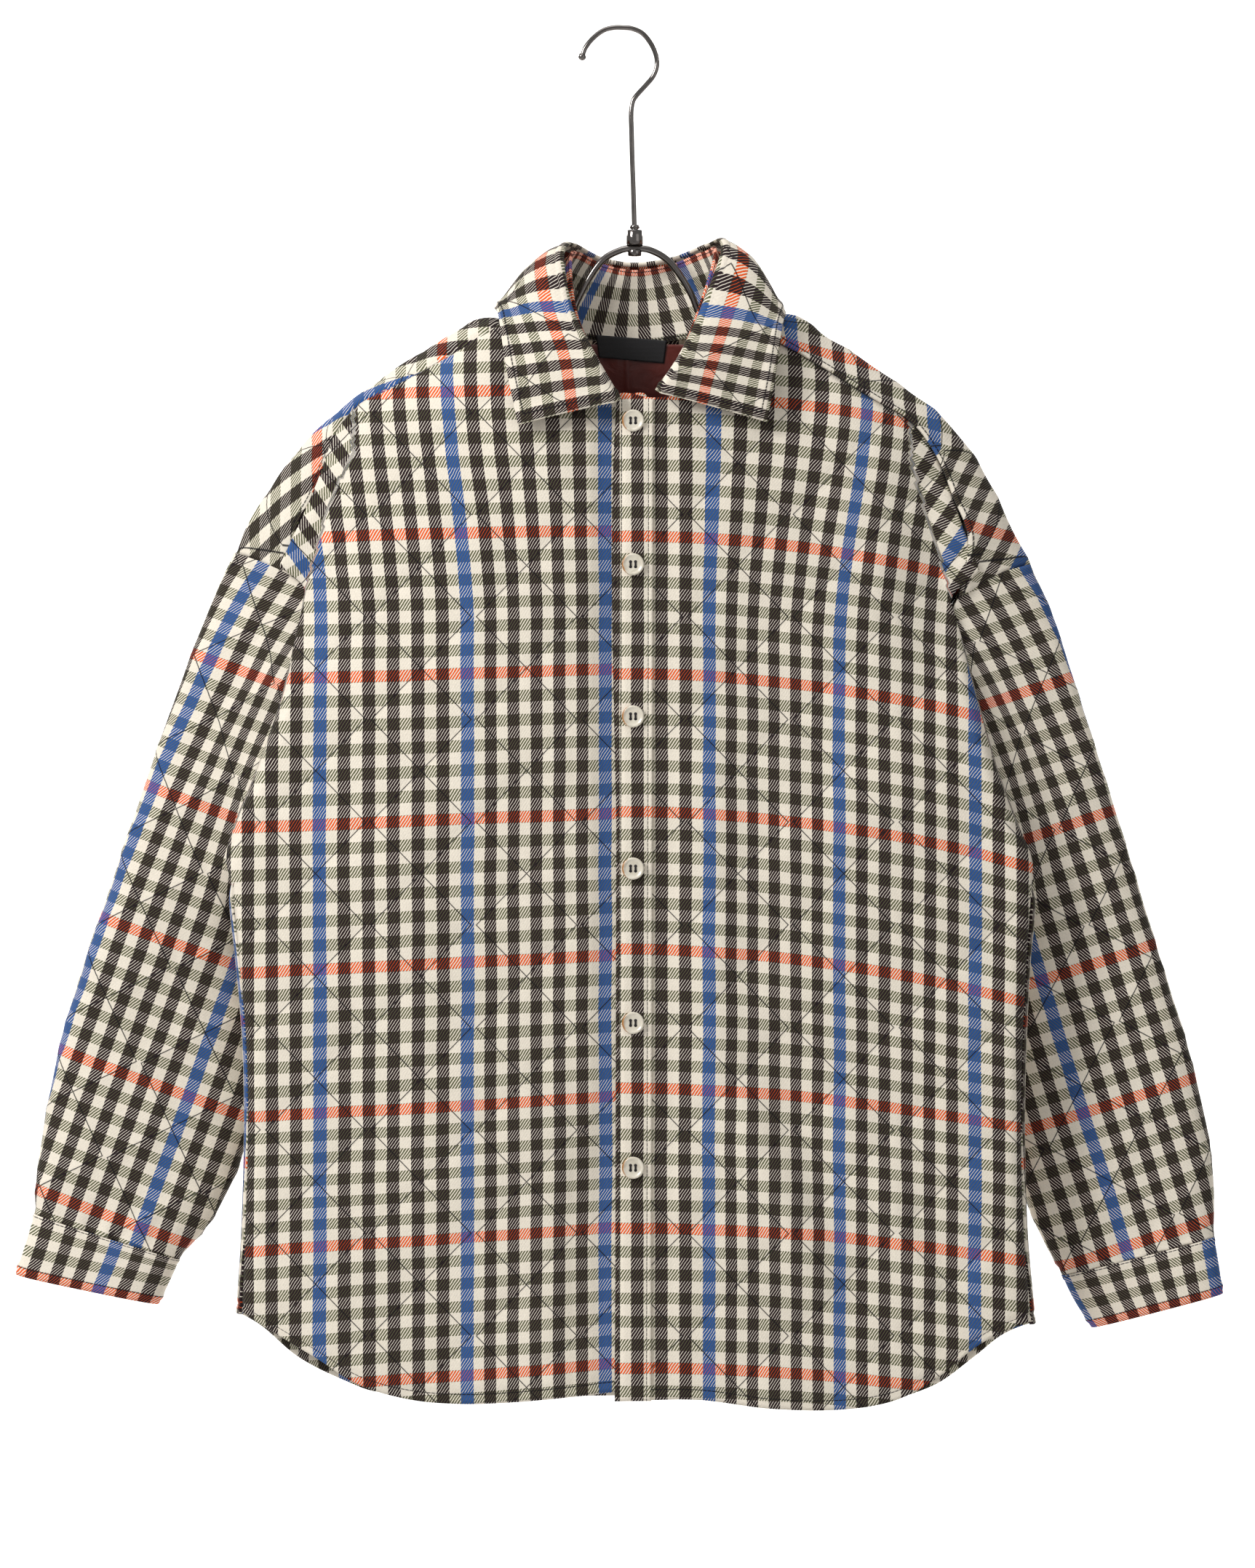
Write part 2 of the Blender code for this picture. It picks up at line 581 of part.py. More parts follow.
def collar_fall(name, material):
    """The collar's turned-down fall with its two leaves."""
    table = np.array(COLLAR, dtype=float) * MM
    knots = np.arange(len(table), dtype=float)

    def place(s, t):
        row = [hermite(knots, table[:, k], s * (len(table) - 1)) for k in range(7)]
        roll = np.array((row[0], row[1], -row[2]))
        edge = np.array((row[3], row[4], -row[5]))
        out = edge - (0.008, 0.0, edge[2])
        out = out / np.linalg.norm(out)
        swell = math.sin(math.pi * min(max(t, 0.0), 1.0) ** 0.7)
        return roll + (edge - roll) * t + row[6] * swell * np.array((out[0], out[1], 0.45))

    rows = [0.0, 0.08, 0.2, 0.4, 0.6, 0.8, 1.0]
    return wall(name, place, shares(36), rows, material, thick=0.0026)


def collar_stand(name, material):
    """The upright band of the collar, from the neck seam to just under the roll."""
    roll = np.array(COLLAR, dtype=float) * MM
    seam = np.array(STAND_SEAM, dtype=float) * MM
    knots = np.arange(len(seam), dtype=float)
    inset = 0.0056

    def place(s, t):
        low = np.array([hermite(knots, seam[:, k], s * (len(seam) - 1)) for k in range(3)])
        high = np.array([hermite(knots, roll[:, k], s * (len(seam) - 1)) for k in range(3)])
        low[2], high[2] = -low[2], -high[2]
        centre = np.array((0.011, 0.0, high[2]))
        inward = centre - high
        inward = inward / max(np.linalg.norm(inward), 0.01)
        high = high + inset * inward - (0, 0, 0.0015)
        bow = math.sin(math.pi * t) * 0.001
        return low + (high - low) * t - bow * inward

    return wall(name, place, shares(40, 0.07, 0.93), shares(4, 0.02, 0.98), material, thick=0.0022)


def neck_lining(name, material):
    """Satin lining of the back, where the open neck shows it."""
    def place(s, t):
        x = -0.045 + 0.107 * s
        z = -0.216 - 0.060 * t
        return np.array((x, 0.0122 + 0.006 * t, z))

    return wall(name, place, shares(8), shares(4), material, thick=0.001, side=-1)


def neck_label(name, material):
    """Bare woven label sewn below the collar stand."""
    def place(s, t):
        x = -0.0185 + 0.049 * s + 0.002 * t * (1 - 2 * s)
        z = -0.2095 - 0.0155 * t - 0.004 * s
        return np.array((x, 0.0104 + 0.0018 * t, z))

    return wall(name, place, shares(4), shares(2), material, thick=0.0008, side=-1)


def button(name, drop, material):
    """Turned four-hole button, its face to the front."""
    z = -drop * MM
    radius, thick = BUTTON_RADIUS, BUTTON_THICK
    y = min(front_depth(BUTTON_X + dx * radius, z + dz * radius)
            for dx in (-0.8, 0.0, 0.8) for dz in (-0.8, 0.0, 0.8)) - BAND_THICK - 4 * GAP
    profile = [(0.0, 0.0), (radius * 0.72, 0.0), (radius, thick * 0.45), (radius * 0.94, thick),
               (radius * 0.72, thick * 0.92), (radius * 0.62, thick * 0.70), (0.0, thick * 0.70)]
    bm = bmesh.new()
    verts = [bm.verts.new((r, -rise, 0.0)) for r, rise in profile]
    edges = [bm.edges.new(pair) for pair in zip(verts, verts[1:])]
    bmesh.ops.spin(bm, geom=verts + edges, cent=(0, 0, 0), axis=(0, 1, 0), steps=18,
                   angle=2 * math.pi, use_merge=True)
    bmesh.ops.remove_doubles(bm, verts=bm.verts, dist=1e-5)
    bmesh.ops.translate(bm, verts=bm.verts, vec=(BUTTON_X, y, z))
    return keep(bm, name, material)


def rod(name, rows, radius, count, material, bend_radius=None):
    """A round rod through a table's points, with filled ends.

    bend_radius is the rod's radius above NECK_DROP, where it differs.
    """
    line = Path(rows)
    curve = bpy.data.curves.new(name, "CURVE")
    curve.dimensions = "3D"
    curve.bevel_depth = radius
    curve.bevel_resolution = 2
    curve.use_fill_caps = True
    spline = curve.splines.new("POLY")
    spline.points.add(count)
    for k in range(count + 1):
        x, drop = line.at(k / count)
        spline.points[k].co = (x, 0.0, -drop, 1.0)
        if bend_radius:
            thin = 1.0 - soft_step((drop - NECK_DROP) / NECK_TAPER)
            spline.points[k].radius = 1.0 + (bend_radius / radius - 1.0) * thin
    part = bpy.data.objects.new(name, curve)
    curve.materials.append(material)
    bpy.context.collection.objects.link(part)
    return part


def ferrule(name, material):
    """Turned ferrule between the hook and the bow, with a small nub below."""
    profile = [(0.0, 134.6), (3.2, 134.8), (3.4, 137.2), (2.4, 138.2), (5.8, 139.2), (5.8, 147.2),
               (5.2, 148.0), (0.0, 148.0)]
    bm = bmesh.new()
    verts = [bm.verts.new((r * MM, 0.0, -drop * MM)) for r, drop in profile]
    edges = [bm.edges.new(pair) for pair in zip(verts, verts[1:])]
    bmesh.ops.spin(bm, geom=verts + edges, cent=(0, 0, 0), axis=(0, 0, 1), steps=20,
                   angle=2 * math.pi, use_merge=True)
    bmesh.ops.remove_doubles(bm, verts=bm.verts, dist=1e-5)
    bmesh.ops.translate(bm, verts=bm.verts, vec=(0.0082, 0.0, 0.0))
    return keep(bm, name, material)


def build_all():
    clear_scene()
    check = finish("check_twill", (0.45, 0.40, 0.36), 0.85)
    lining = finish("rust_lining", (0.20, 0.05, 0.03), 0.45)
    label = finish("black_label", (0.015, 0.015, 0.016), 0.7)
    horn = finish("horn_button", (0.55, 0.50, 0.40), 0.35)
    steel = finish("dark_steel", (0.10, 0.10, 0.11), 0.25, 1.0)
    front_panel("front_left", -1, LEFT_YOKE_SEAM, LEFT_NECK, LEFT_FRONT_EDGE, LEFT_OUTER,
                LEFT_HEM, check)
    front_panel("front_right", 1, RIGHT_YOKE_SEAM, RIGHT_NECK, RIGHT_FRONT_EDGE, RIGHT_OUTER,
                RIGHT_HEM, check)
    button_band("button_band", check)
    back_panel("back", check)
    yoke_panel("yoke", check)
    sleeve_tube("sleeve_left", LEFT_SLEEVE, LEFT_ARMHOLE, 22, 24, check, 0.002, False)
    sleeve_tube("sleeve_right", RIGHT_SLEEVE, RIGHT_ARMHOLE, 22, 24, check, 0.002, True)
    sleeve_tube("cuff_left", LEFT_CUFF, LEFT_ARMHOLE, 22, 4, check, 0.0, False)
    sleeve_tube("cuff_right", RIGHT_CUFF, RIGHT_ARMHOLE, 22, 4, check, 0.0, True)
    collar_fall("collar", check)
    collar_stand("collar_stand", check)
    neck_lining("neck_lining", lining)
    neck_label("neck_label", label)
    for number, drop in enumerate(BUTTON_DROPS, start=1):
        button(f"button_{number}", drop, horn)
    rod("hanger_hook", HOOK_PATH, HOOK_RADIUS, 34, steel)
    ferrule("hanger_ferrule", steel)
    rod("hanger_bow", BOW_PATH, ARM_RADIUS, 44, steel, BOW_RADIUS)


build_all()
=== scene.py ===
import math

import bmesh
import bpy
import numpy as np
from mathutils import Matrix


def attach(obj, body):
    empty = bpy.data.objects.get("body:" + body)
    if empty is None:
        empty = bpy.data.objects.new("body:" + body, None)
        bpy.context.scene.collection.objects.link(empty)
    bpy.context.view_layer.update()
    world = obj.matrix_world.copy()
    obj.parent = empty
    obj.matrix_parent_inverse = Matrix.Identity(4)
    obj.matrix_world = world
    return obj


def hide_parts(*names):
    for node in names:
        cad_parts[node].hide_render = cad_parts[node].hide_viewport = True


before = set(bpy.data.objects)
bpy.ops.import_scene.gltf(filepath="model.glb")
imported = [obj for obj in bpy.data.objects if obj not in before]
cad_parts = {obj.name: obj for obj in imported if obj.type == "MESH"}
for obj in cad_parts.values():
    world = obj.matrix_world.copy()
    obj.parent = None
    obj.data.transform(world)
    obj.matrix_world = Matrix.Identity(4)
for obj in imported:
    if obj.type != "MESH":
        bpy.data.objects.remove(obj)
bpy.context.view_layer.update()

# Camera, level with the middle of the garment, with a long lens, as a shop photographs
# a shirt on its hanger. The picture is 0.86 m wide and 1.08 m high at the cloth.
camera_data = bpy.data.cameras.new("camera")
camera = bpy.data.objects.new("camera", camera_data)
bpy.context.collection.objects.link(camera)
CAMERA_DISTANCE = 3.5
CLOTH_PLANE = 0.015
PICTURE_HEIGHT = 1.078
camera_data.sensor_fit = "VERTICAL"
camera_data.sensor_height = 36.0
camera_data.lens = 36.0 * (CAMERA_DISTANCE - CLOTH_PLANE) / PICTURE_HEIGHT
camera_data.clip_end = 30.0
camera.location = (0.00325, -CAMERA_DISTANCE, -0.5205)
camera.rotation_euler = (math.radians(90.0), 0.0, 0.0)
bpy.context.scene.camera = camera
bpy.context.scene.view_settings.view_transform = "Standard"


# The two fronts: brushed cotton twill over thin wadding and a satin lining, sewn together
# in diamonds and cut to a shirt-tail hem. They hang from the yoke's front seams, and the
# right front laps over the left. Each hangs in soft folds and tucks back at the armhole.
MM = 0.001
PUFF = 0.0015             # how far a diamond stands over its stitches
DIAMOND = (0.072, 0.070)
TIP_GAP = 0.05            # share of a diamond's width between two tips
CLOTH_WALL = 0.0027
SEAM_STITCH = 0.0055      # edge stitching's distance from a stitched edge
FAR_IN = 0.05             # an edge distance past all stitching
UNQUILTED = (0.25, 0.25)  # a place in a diamond where no quilting runs
SHOULDER_ROUND = 0.012
CHEST_DEPTH = 0.036
BACK_DEPTH = 0.016
SWELL_LENGTH = 0.060
SIDE_PLANE = -0.0192
VALLEY_PLANE = -0.0190
PINCH_PLANE = -0.008
SIDE_ROUND = 0.012
LAP_STEP = 0.0046
BLUE_PITCH = 0.098
ORANGE_PITCH = 0.097

# Millimetres: reach from the hook's line, drop below the hook
RIDGES = ([(-93, 197), (-118, 211), (-151, 231), (-179, 251), (-204, 271),
           (-224, 291), (-239, 311), (-252, 331), (-263, 351), (-267, 361)],
          [(111, 194), (136, 211), (168, 231), (196, 251), (222, 271),
           (238, 291), (250, 311), (261, 331), (270, 351), (280, 369)])
YOKE_SEAMS = ([(-80, 203), (-92, 208), (-111, 222), (-145, 241), (-181, 259),
               (-198, 281), (-208, 308), (-220, 337), (-236, 371)],
              [(98, 209), (108, 218), (134, 233), (169, 255), (200, 274),
               (218, 301), (232, 340), (245, 374)])
FRONT_EDGES = ([(-80, 203), (-79, 222), (-66, 241), (-42, 253), (-12, 257),
                (17, 257), (17, 600), (16, 933)],
               [(98, 209), (94, 228), (74, 245), (50, 253), (22, 257),
                (-4, 257), (-4, 600), (-5.5, 941)])
OUTER_EDGES = ([(-236, 371), (-219, 385), (-220, 397), (-225, 421), (-236, 466),
                (-252, 512), (-268, 552), (-271, 573), (-267, 590), (-262, 640),
                (-257, 700), (-256, 760), (-258, 830), (-260, 881)],
               [(245, 374), (226, 392), (228, 404), (233, 421), (245, 466), (258, 512),
                (273, 552), (280, 573), (279, 592), (276, 640), (273, 700), (272, 760),
                (274, 830), (279, 887)])
HEMS = ([(16, 933), (-33, 938), (-78, 942), (-112, 943), (-146, 940), (-180, 930),
         (-206, 914), (-236, 896), (-260, 881)],
        [(-5.5, 941), (50, 940), (100, 946), (148, 947), (185, 941), (214, 926),
         (240, 905), (260, 894), (279, 887)])

# Millimetres: drop, reach of the left and right fold or side edge
BODY_EDGE = [(297, 185, 197), (322, 199, 204), (350, 207, 213), (380, 216, 222),
             (421, 225, 233), (466, 236, 245), (512, 252, 258), (552, 268, 273),
             (575, 275, 284), (600, 271, 284), (640, 267, 281), (700, 262, 278),
             (760, 261, 277), (830, 263, 279), (892, 266, 284)]

# Millimetres: reach and drop of both ends, half width, height to the front
FRONT_FOLDS = [(72, 715, 135, 870, 18, 4.0), (104, 700, 166, 880, 20, -3.5),
               (85, 386, 140, 520, 30, -4.0), (178, 790, 209, 870, 12, 3.5),
               (62, 470, 60, 740, 16, 3.0), (-20, 740, -28, 940, 16, -4.0),
               (-150, 520, -120, 800, 45, 3.0)]

HEM_STITCH = 0.0065       # distance of the hem's stitching from the cut
FRONT_HEIGHT = 0.73
FRONT_SPAN = 0.27
ARMHOLE_TURN = math.radians(35)

# How the check leans out towards the shoulders, left and right: reach of the lean, drop where
# it starts, reach where it starts, and the width over which it grows, all in metres
LEANS = ((-0.0145, 0.42, 0.012, 0.0935), (0.020, 0.43, 0.045, 0.10))
LEAN_HEIGHT = 0.185

# Millimetres: drop of each orange row beside the placket, left and right
ORANGE_ROWS = ([154, 251, 348, 442.5, 541, 638, 734.5, 823.5, 916.5, 1010],
               [163, 254, 352, 445.5, 539.5, 633, 727.5, 823, 918, 1013])
# Millimetres: reach of each blue line, left and right
BLUE_LINES = ([-304.5, -206.5, -105.5, -12, 86], [-39, 59, 147.5, 240, 338])


def soft_step(value):
    value = np.clip(value, 0.0, 1.0)
    return value * value * (3.0 - 2.0 * value)


def smooth(knots, values, key):
    """Values at the keys of a smooth line through a table's column over rising knots.

    Where every key has a column of its own, values holds them side by side.
    """
    knots, values = np.asarray(knots, float), np.asarray(values, float)
    last = len(knots) - 1
    key = np.clip(key, knots[0], knots[-1])
    i = np.clip(np.searchsorted(knots, key, side="right") - 1, 0, last - 1)
    every = np.arange(last + 1)
    low, high = np.maximum(every - 1, 0), np.minimum(every + 1, last)
    slope = ((values[high] - values[low]).T / (knots[high] - knots[low])).T
    own = () if values.ndim == 1 else (np.arange(len(key)),)
    here, there = (i, *own), (i + 1, *own)
    span = knots[i + 1] - knots[i]
    f = (key - knots[i]) / span
    return ((2 * f ** 3 - 3 * f ** 2 + 1) * values[here]
            + (f ** 3 - 2 * f ** 2 + f) * span * slope[here]
            + (3 * f ** 2 - 2 * f ** 3) * values[there] + (f ** 3 - f ** 2) * span * slope[there])


class Seam:
    """A cut or sewn line through a table's rows, read by its share of length."""

    def __init__(self, rows):
        self.rows = np.array(rows, float) * MM
        steps = np.linalg.norm(np.diff(self.rows, axis=0), axis=1)
        self.knots = np.concatenate([[0.0], np.cumsum(steps)])
        self.length = self.knots[-1]

    def at(self, share):
        key = np.asarray(share, float) * self.length
        return np.stack([smooth(self.knots, self.rows[:, k], key)
                         for k in range(self.rows.shape[1])], axis=-1)


def cut(rows):
    """Table rows of reach and drop as x, z."""
    return [(reach, -drop) for reach, drop in rows]


def panel(top, bottom, inner, outer):
    """Places of a four-sided panel between its seams, by its shares across and down."""
    a, b, c, d = top.at(0), top.at(1), bottom.at(0), bottom.at(1)

    def at(s, t):
        across, down = s[:, None], t[:, None]
        blend = ((1 - across) * (1 - down) * a + across * (1 - down) * b
                 + (1 - across) * down * c + across * down * d)
        return ((1 - down) * top.at(s) + down * bottom.at(s) + (1 - across) * inner.at(t)
                + across * outer.at(t) - blend).T
    return at


ridge_seams = [Seam(cut(rows)) for rows in RIDGES]
ridge_points = np.concatenate([seam.at(np.linspace(0, 1, 41)) for seam in ridge_seams])


def ridge_distance(x, z):
    return np.min(np.hypot(x[:, None] - ridge_points[:, 0], z[:, None] - ridge_points[:, 1]),
                  axis=1)


def body_edge(x, z):
    rows = np.array(BODY_EDGE, float) * MM
    return np.where(x < 0, smooth(rows[:, 0], rows[:, 1], -z), smooth(rows[:, 0], rows[:, 2], -z))


def shoulder_profile(distance, swell):
    near = np.minimum(distance, SHOULDER_ROUND) / SHOULDER_ROUND
    arc = SHOULDER_ROUND * np.sqrt(np.maximum(0.0, 1.0 - (1.0 - near) ** 2))
    return arc + swell * (1.0 - np.exp(-distance / SWELL_LENGTH))


def fold_height(folds, x, z):
    total = np.zeros_like(x)
    for x0, drop0, x1, drop1, half, height in folds:
        start, run = np.array([x0, -drop0]) * MM, np.array([x1 - x0, drop0 - drop1]) * MM
        share = ((x - start[0]) * run[0] + (z - start[1]) * run[1]) / np.dot(run, run)
        inside = soft_step((share + 0.15) / 0.4) * soft_step((1.2 - share) / 0.4)
        away = np.hypot(x - start[0] - share * run[0], z - start[1] - share * run[1])
        total += height * MM * inside * np.exp(-(away / (half * MM)) ** 2)
    return total


def front_depth(x, z):
    """Depth of the fronts over the points x, z."""
    edge = body_edge(x, z)
    thin = soft_step((abs(x) - 0.170) / 0.070) * soft_step((z + 0.470) / 0.080)
    crown = 1.0 - 0.22 * np.minimum(abs(x) / edge, 1.0) ** 2
    y = -shoulder_profile(ridge_distance(x, z), CHEST_DEPTH * (1.0 - 0.8 * thin) * crown)
    y -= fold_height(FRONT_FOLDS, x, z) * soft_step((edge - abs(x)) / 0.030)
    fold = soft_step((-z - 0.297) / 0.045)
    rounding = np.minimum(SIDE_ROUND, 0.009 + 0.004 * soft_step((-z - 0.38) / 0.1))
    turn = np.clip((abs(x) - edge + rounding) / rounding, 0.0, 1.0)
    kept = y + (SIDE_PLANE - y) * fold * (1.0 - np.sqrt(1.0 - turn * turn))
    return np.where(abs(x) > edge, y + (VALLEY_PLANE - y) * fold, kept)


def ripples(x, z):
    """Shallow unevenness of hanging cloth, in metres."""
    return MM * (0.7 * np.sin(31 * x + 12 * z + 0.6) * np.sin(17 * z - 9 * x + 1.1)
                 + 0.45 * np.sin(63 * x - 29 * z + 2.0) * np.sin(41 * z + 23 * x)
                 + 0.25 * np.sin(118 * x + 67 * z) * np.sin(91 * z - 71 * x + 0.4))


def stitch_distance(lattice):
    """Metres from the nearest quilting line, for places counted in diamonds."""
    zigzag = TIP_GAP / 2 + (1 - TIP_GAP) * abs(2 * (lattice[:, 1] / 2 % 1) - 1)
    across = lattice[:, 0] % 1
    return np.minimum(abs(across - zigzag), abs(across - 1 + zigzag)) * DIAMOND[0] * 0.70


def finished(name, bm, material):
    """The piece that a worked mesh becomes, in its material."""
    mesh = bpy.data.meshes.new(name)
    bm.to_mesh(mesh)
    bm.free()
    mesh.shade_smooth()
    mesh.materials.append(material)
    piece = bpy.data.objects.new(name, mesh)
    bpy.context.collection.objects.link(piece)
    return piece


def cloth_piece(name, cols, rows, shape, material, wall, flip=False, tube=False):
    """Sews a piece: a grid bent to a shape, quilted, and given its thickness.

    shape returns the places in space, three pairs (places in the weave, distances from and
    along the stitched edge, places counted in diamonds) and the share of the full puff.
    """
    bm = bmesh.new()
    weave = bm.loops.layers.uv.new("weave")
    edging = bm.loops.layers.uv.new("edging")
    quilting = bm.loops.layers.uv.new("quilting")
    bmesh.ops.create_grid(bm, x_segments=cols, y_segments=rows, size=0.5)
    start = np.array([vert.co[:] for vert in bm.verts])
    places, *pairs, fade = shape(start[:, 0] + 0.5, 0.5 - start[:, 1])
    threads, edges, lattice = (np.stack([part + np.zeros(len(start)) for part in pair], axis=1)
                               for pair in pairs)
    bm.verts.index_update()
    for vert, place in zip(bm.verts, places):
        vert.co = place
    for face in bm.faces:
        for loop in face.loops:
            k = loop.vert.index
            loop[weave].uv = threads[k]
            loop[edging].uv = edges[k]
            loop[quilting].uv = lattice[k]
    if flip:
        bmesh.ops.reverse_faces(bm, faces=bm.faces)
    bm.normal_update()
    rise = PUFF * fade * (1.0 - np.exp(-stitch_distance(lattice) / 0.0055))
    rise -= 0.0009 * np.exp(-((edges[:, 0] - SEAM_STITCH) / 0.0018) ** 2)
    for vert, height in zip(bm.verts, rise):
        vert.co += vert.normal * height
    if tube:
        bmesh.ops.remove_doubles(bm, verts=bm.verts, dist=2e-5)
    piece = finished(name, bm, material)
    solid = piece.modifiers.new("wall", "SOLIDIFY")
    solid.thickness = wall
    solid.offset = -1.0
    solid.use_even_offset = False
    return piece


class Tint:
    """A value in a material's recipe, so that sums of sockets read as sums."""

    def __init__(self, tree, socket):
        self.tree, self.socket = tree, socket

    def feed(self, slot, value):
        if isinstance(value, Tint):
            self.tree.links.new(value.socket, slot)
        else:
            slot.default_value = value

    def node(self, kind, settings, inputs, output=0):
        made = self.tree.nodes.new("ShaderNode" + kind)
        for key, value in settings.items():
            setattr(made, key, value)
        for key, value in inputs.items():
            self.feed(made.inputs[key], value)
        return Tint(self.tree, made.outputs[output])

    def math(self, operation, *others):
        values = dict(enumerate((self,) + others))
        return self.node("Math", {"operation": operation}, values)

    def __add__(self, other):
        return self.math("ADD", other)

    def __sub__(self, other):
        return self.math("SUBTRACT", other)

    def __rsub__(self, other):
        return self.math("MULTIPLY_ADD", -1.0, other)

    def __mul__(self, other):
        return self.math("MULTIPLY", other)

    def __truediv__(self, other):
        return self.math("DIVIDE", other)

    __radd__, __rmul__ = __add__, __mul__

    def clamp(self):
        return self.node("Clamp", {}, {"Value": self})

    def off_line(self):
        """Distance from the nearest whole number."""
        return ((self + 0.5).math("FRACT") - 0.5).math("ABSOLUTE")

    def mix(self, first, second):
        """first where this is 0 and second where it is 1, as colours."""
        return self.node("Mix", {"data_type": "RGBA"}, {0: self, 6: first, 7: second}, output=2)


def recipe(name, roughness, metallic=0.0):
    """A new material, its shader, and a place to start its recipe."""
    material = bpy.data.materials.new(name)
    material.use_nodes = True
    tree = material.node_tree
    shader = tree.nodes["Principled BSDF"]
    shader.inputs["Roughness"].default_value = roughness
    shader.inputs["Metallic"].default_value = metallic
    return material, shader, Tint(tree, None)


def srgb(*levels):
    """A dye given as 0 to 255 levels, as the linear colour that shaders take."""
    scaled = [level / 255 for level in levels]
    linear = [c / 12.92 if c <= 0.04045 else ((c + 0.055) / 1.055) ** 2.4 for c in scaled]
    return (*linear, 1.0)


# Yarn dyes of the check, warp then weft
WARP_CREAM, WARP_DARK, WARP_BLUE = srgb(232, 222, 205), srgb(40, 27, 30), srgb(44, 84, 146)
WEFT_CREAM, WEFT_OLIVE, WEFT_ORANGE = srgb(233, 224, 208), srgb(96, 98, 70), srgb(232, 90, 28)
BLACK_THREAD = srgb(22, 20, 22)
STRIPE_SHARE = 0.262      # half the dark stripe's width, as a share of the pitch
TWILL_PITCH = 0.0017
TWILL_SLOPE = math.radians(57)
STITCH_HALF = 0.00034
STITCH_LENGTH = 0.0030
OLIVE_SHARE = 0.250       # half widths of the weft's bands, as shares of their pitches
ORANGE_SHARE = 0.0385


def check_twill():
    """Brushed twill check: striped warp under banded weft, with quilting stitches."""
    material, shader, t = recipe("check_twill_cloth", 0.9)
    cloth = t.node("UVMap", {"uv_map": "weave"}, {})
    soft = t.node("TexNoise", {}, {"Vector": cloth, "Scale": 260.0, "Detail": 3.0})
    drift = t.node("TexNoise", {}, {"Vector": cloth, "Scale": 9.0, "Detail": 2.0})
    u = t.node("SeparateXYZ", {}, {0: cloth}) + (drift - 0.5) * 0.0030 + (soft - 0.5) * 0.0006
    v = (t.node("SeparateXYZ", {}, {0: cloth}, output=1) - (drift - 0.5) * 0.0030
         + (soft - 0.5) * 0.0006)

    def band(along, pitch, half):
        """1 on a band centred on each whole pitch, with a 0.4 mm soft edge."""
        return ((half - (along / pitch).off_line()) * (pitch / 0.0004) + 0.5).clamp()

    dark = band(u, BLUE_PITCH / 6, STRIPE_SHARE)
    blue = band(u, BLUE_PITCH, STRIPE_SHARE / 6 * 1.06)
    olive = band(v, ORANGE_PITCH / 6, OLIVE_SHARE)
    orange = band(v, ORANGE_PITCH, ORANGE_SHARE)
    warp = blue.mix(dark.mix(WARP_CREAM, WARP_DARK), WARP_BLUE)
    weft = orange.mix(olive.mix(WEFT_CREAM, WEFT_OLIVE), WEFT_ORANGE)
    slant = (u * math.sin(TWILL_SLOPE) + v * math.cos(TWILL_SLOPE)) * (2 * math.pi / TWILL_PITCH)
    twill = slant.math("SINE")
    deep = dark.math("MAXIMUM", blue)
    floats = ((twill - deep * (orange * 0.16 + 0.98) + 0.20 + orange * 0.06) * 2.2 + 0.5).clamp()
    colour = floats.mix(warp, weft)
    nap = t.node("TexNoise", {}, {"Vector": cloth, "Scale": 900.0, "Detail": 4.0})
    shade = (nap - 0.5) * 0.34 + (drift - 0.5) * 0.16 + 0.97
    colour = t.node("VectorMath", {"operation": "SCALE"}, {0: colour, "Scale": shade})

    quilt = t.node("UVMap", {"uv_map": "quilting"}, {})
    a = t.node("SeparateXYZ", {}, {0: quilt})
    b = t.node("SeparateXYZ", {}, {0: quilt}, output=1)
    zigzag = (((b * 0.5).math("FRACT") * 2.0 - 1.0).math("ABSOLUTE") * (1 - TIP_GAP)
              + TIP_GAP / 2)
    across = a.math("FRACT")
    off = ((across - zigzag).math("ABSOLUTE")
           .math("MINIMUM", (across + zigzag - 1.0).math("ABSOLUTE"))) * (DIAMOND[0] * 0.70)
    seen = (b * (DIAMOND[1] / STITCH_LENGTH)).off_line() * 2.0 + 0.8
    thread = (((STITCH_HALF - off) / 0.0004 + 0.5).clamp()) * seen.clamp()
    edging = t.node("UVMap", {"uv_map": "edging"}, {})
    inward = t.node("SeparateXYZ", {}, {0: edging})
    along = t.node("SeparateXYZ", {}, {0: edging}, output=1)
    tacked = ((along / STITCH_LENGTH).off_line() * 5.0 + 0.1).clamp()
    edge_thread = (((STITCH_HALF - (inward - SEAM_STITCH).math("ABSOLUTE")) / 0.0004 + 0.5).clamp()
                   * tacked)
    stitched = thread.math("MAXIMUM", edge_thread)
    colour = (stitched * 0.95).mix(colour, BLACK_THREAD)
    t.feed(shader.inputs["Base Color"], colour)

    groove = (1.0 - (inward - SEAM_STITCH).math("ABSOLUTE") / 0.0016).clamp()
    height = twill * 0.16 + nap * 0.5 + soft * 0.35 - groove * 0.9 + stitched * 0.5
    bump = t.node("Bump", {}, {"Height": height, "Strength": 0.55, "Distance": 0.00035})
    t.feed(shader.inputs["Normal"], bump)
    t.feed(shader.inputs["Roughness"], nap * 0.12 + 0.82)
    shader.inputs["Sheen Weight"].default_value = 0.04
    shader.inputs["Sheen Roughness"].default_value = 0.55
    shader.inputs["Specular IOR Level"].default_value = 0.15
    return material


twill = check_twill()


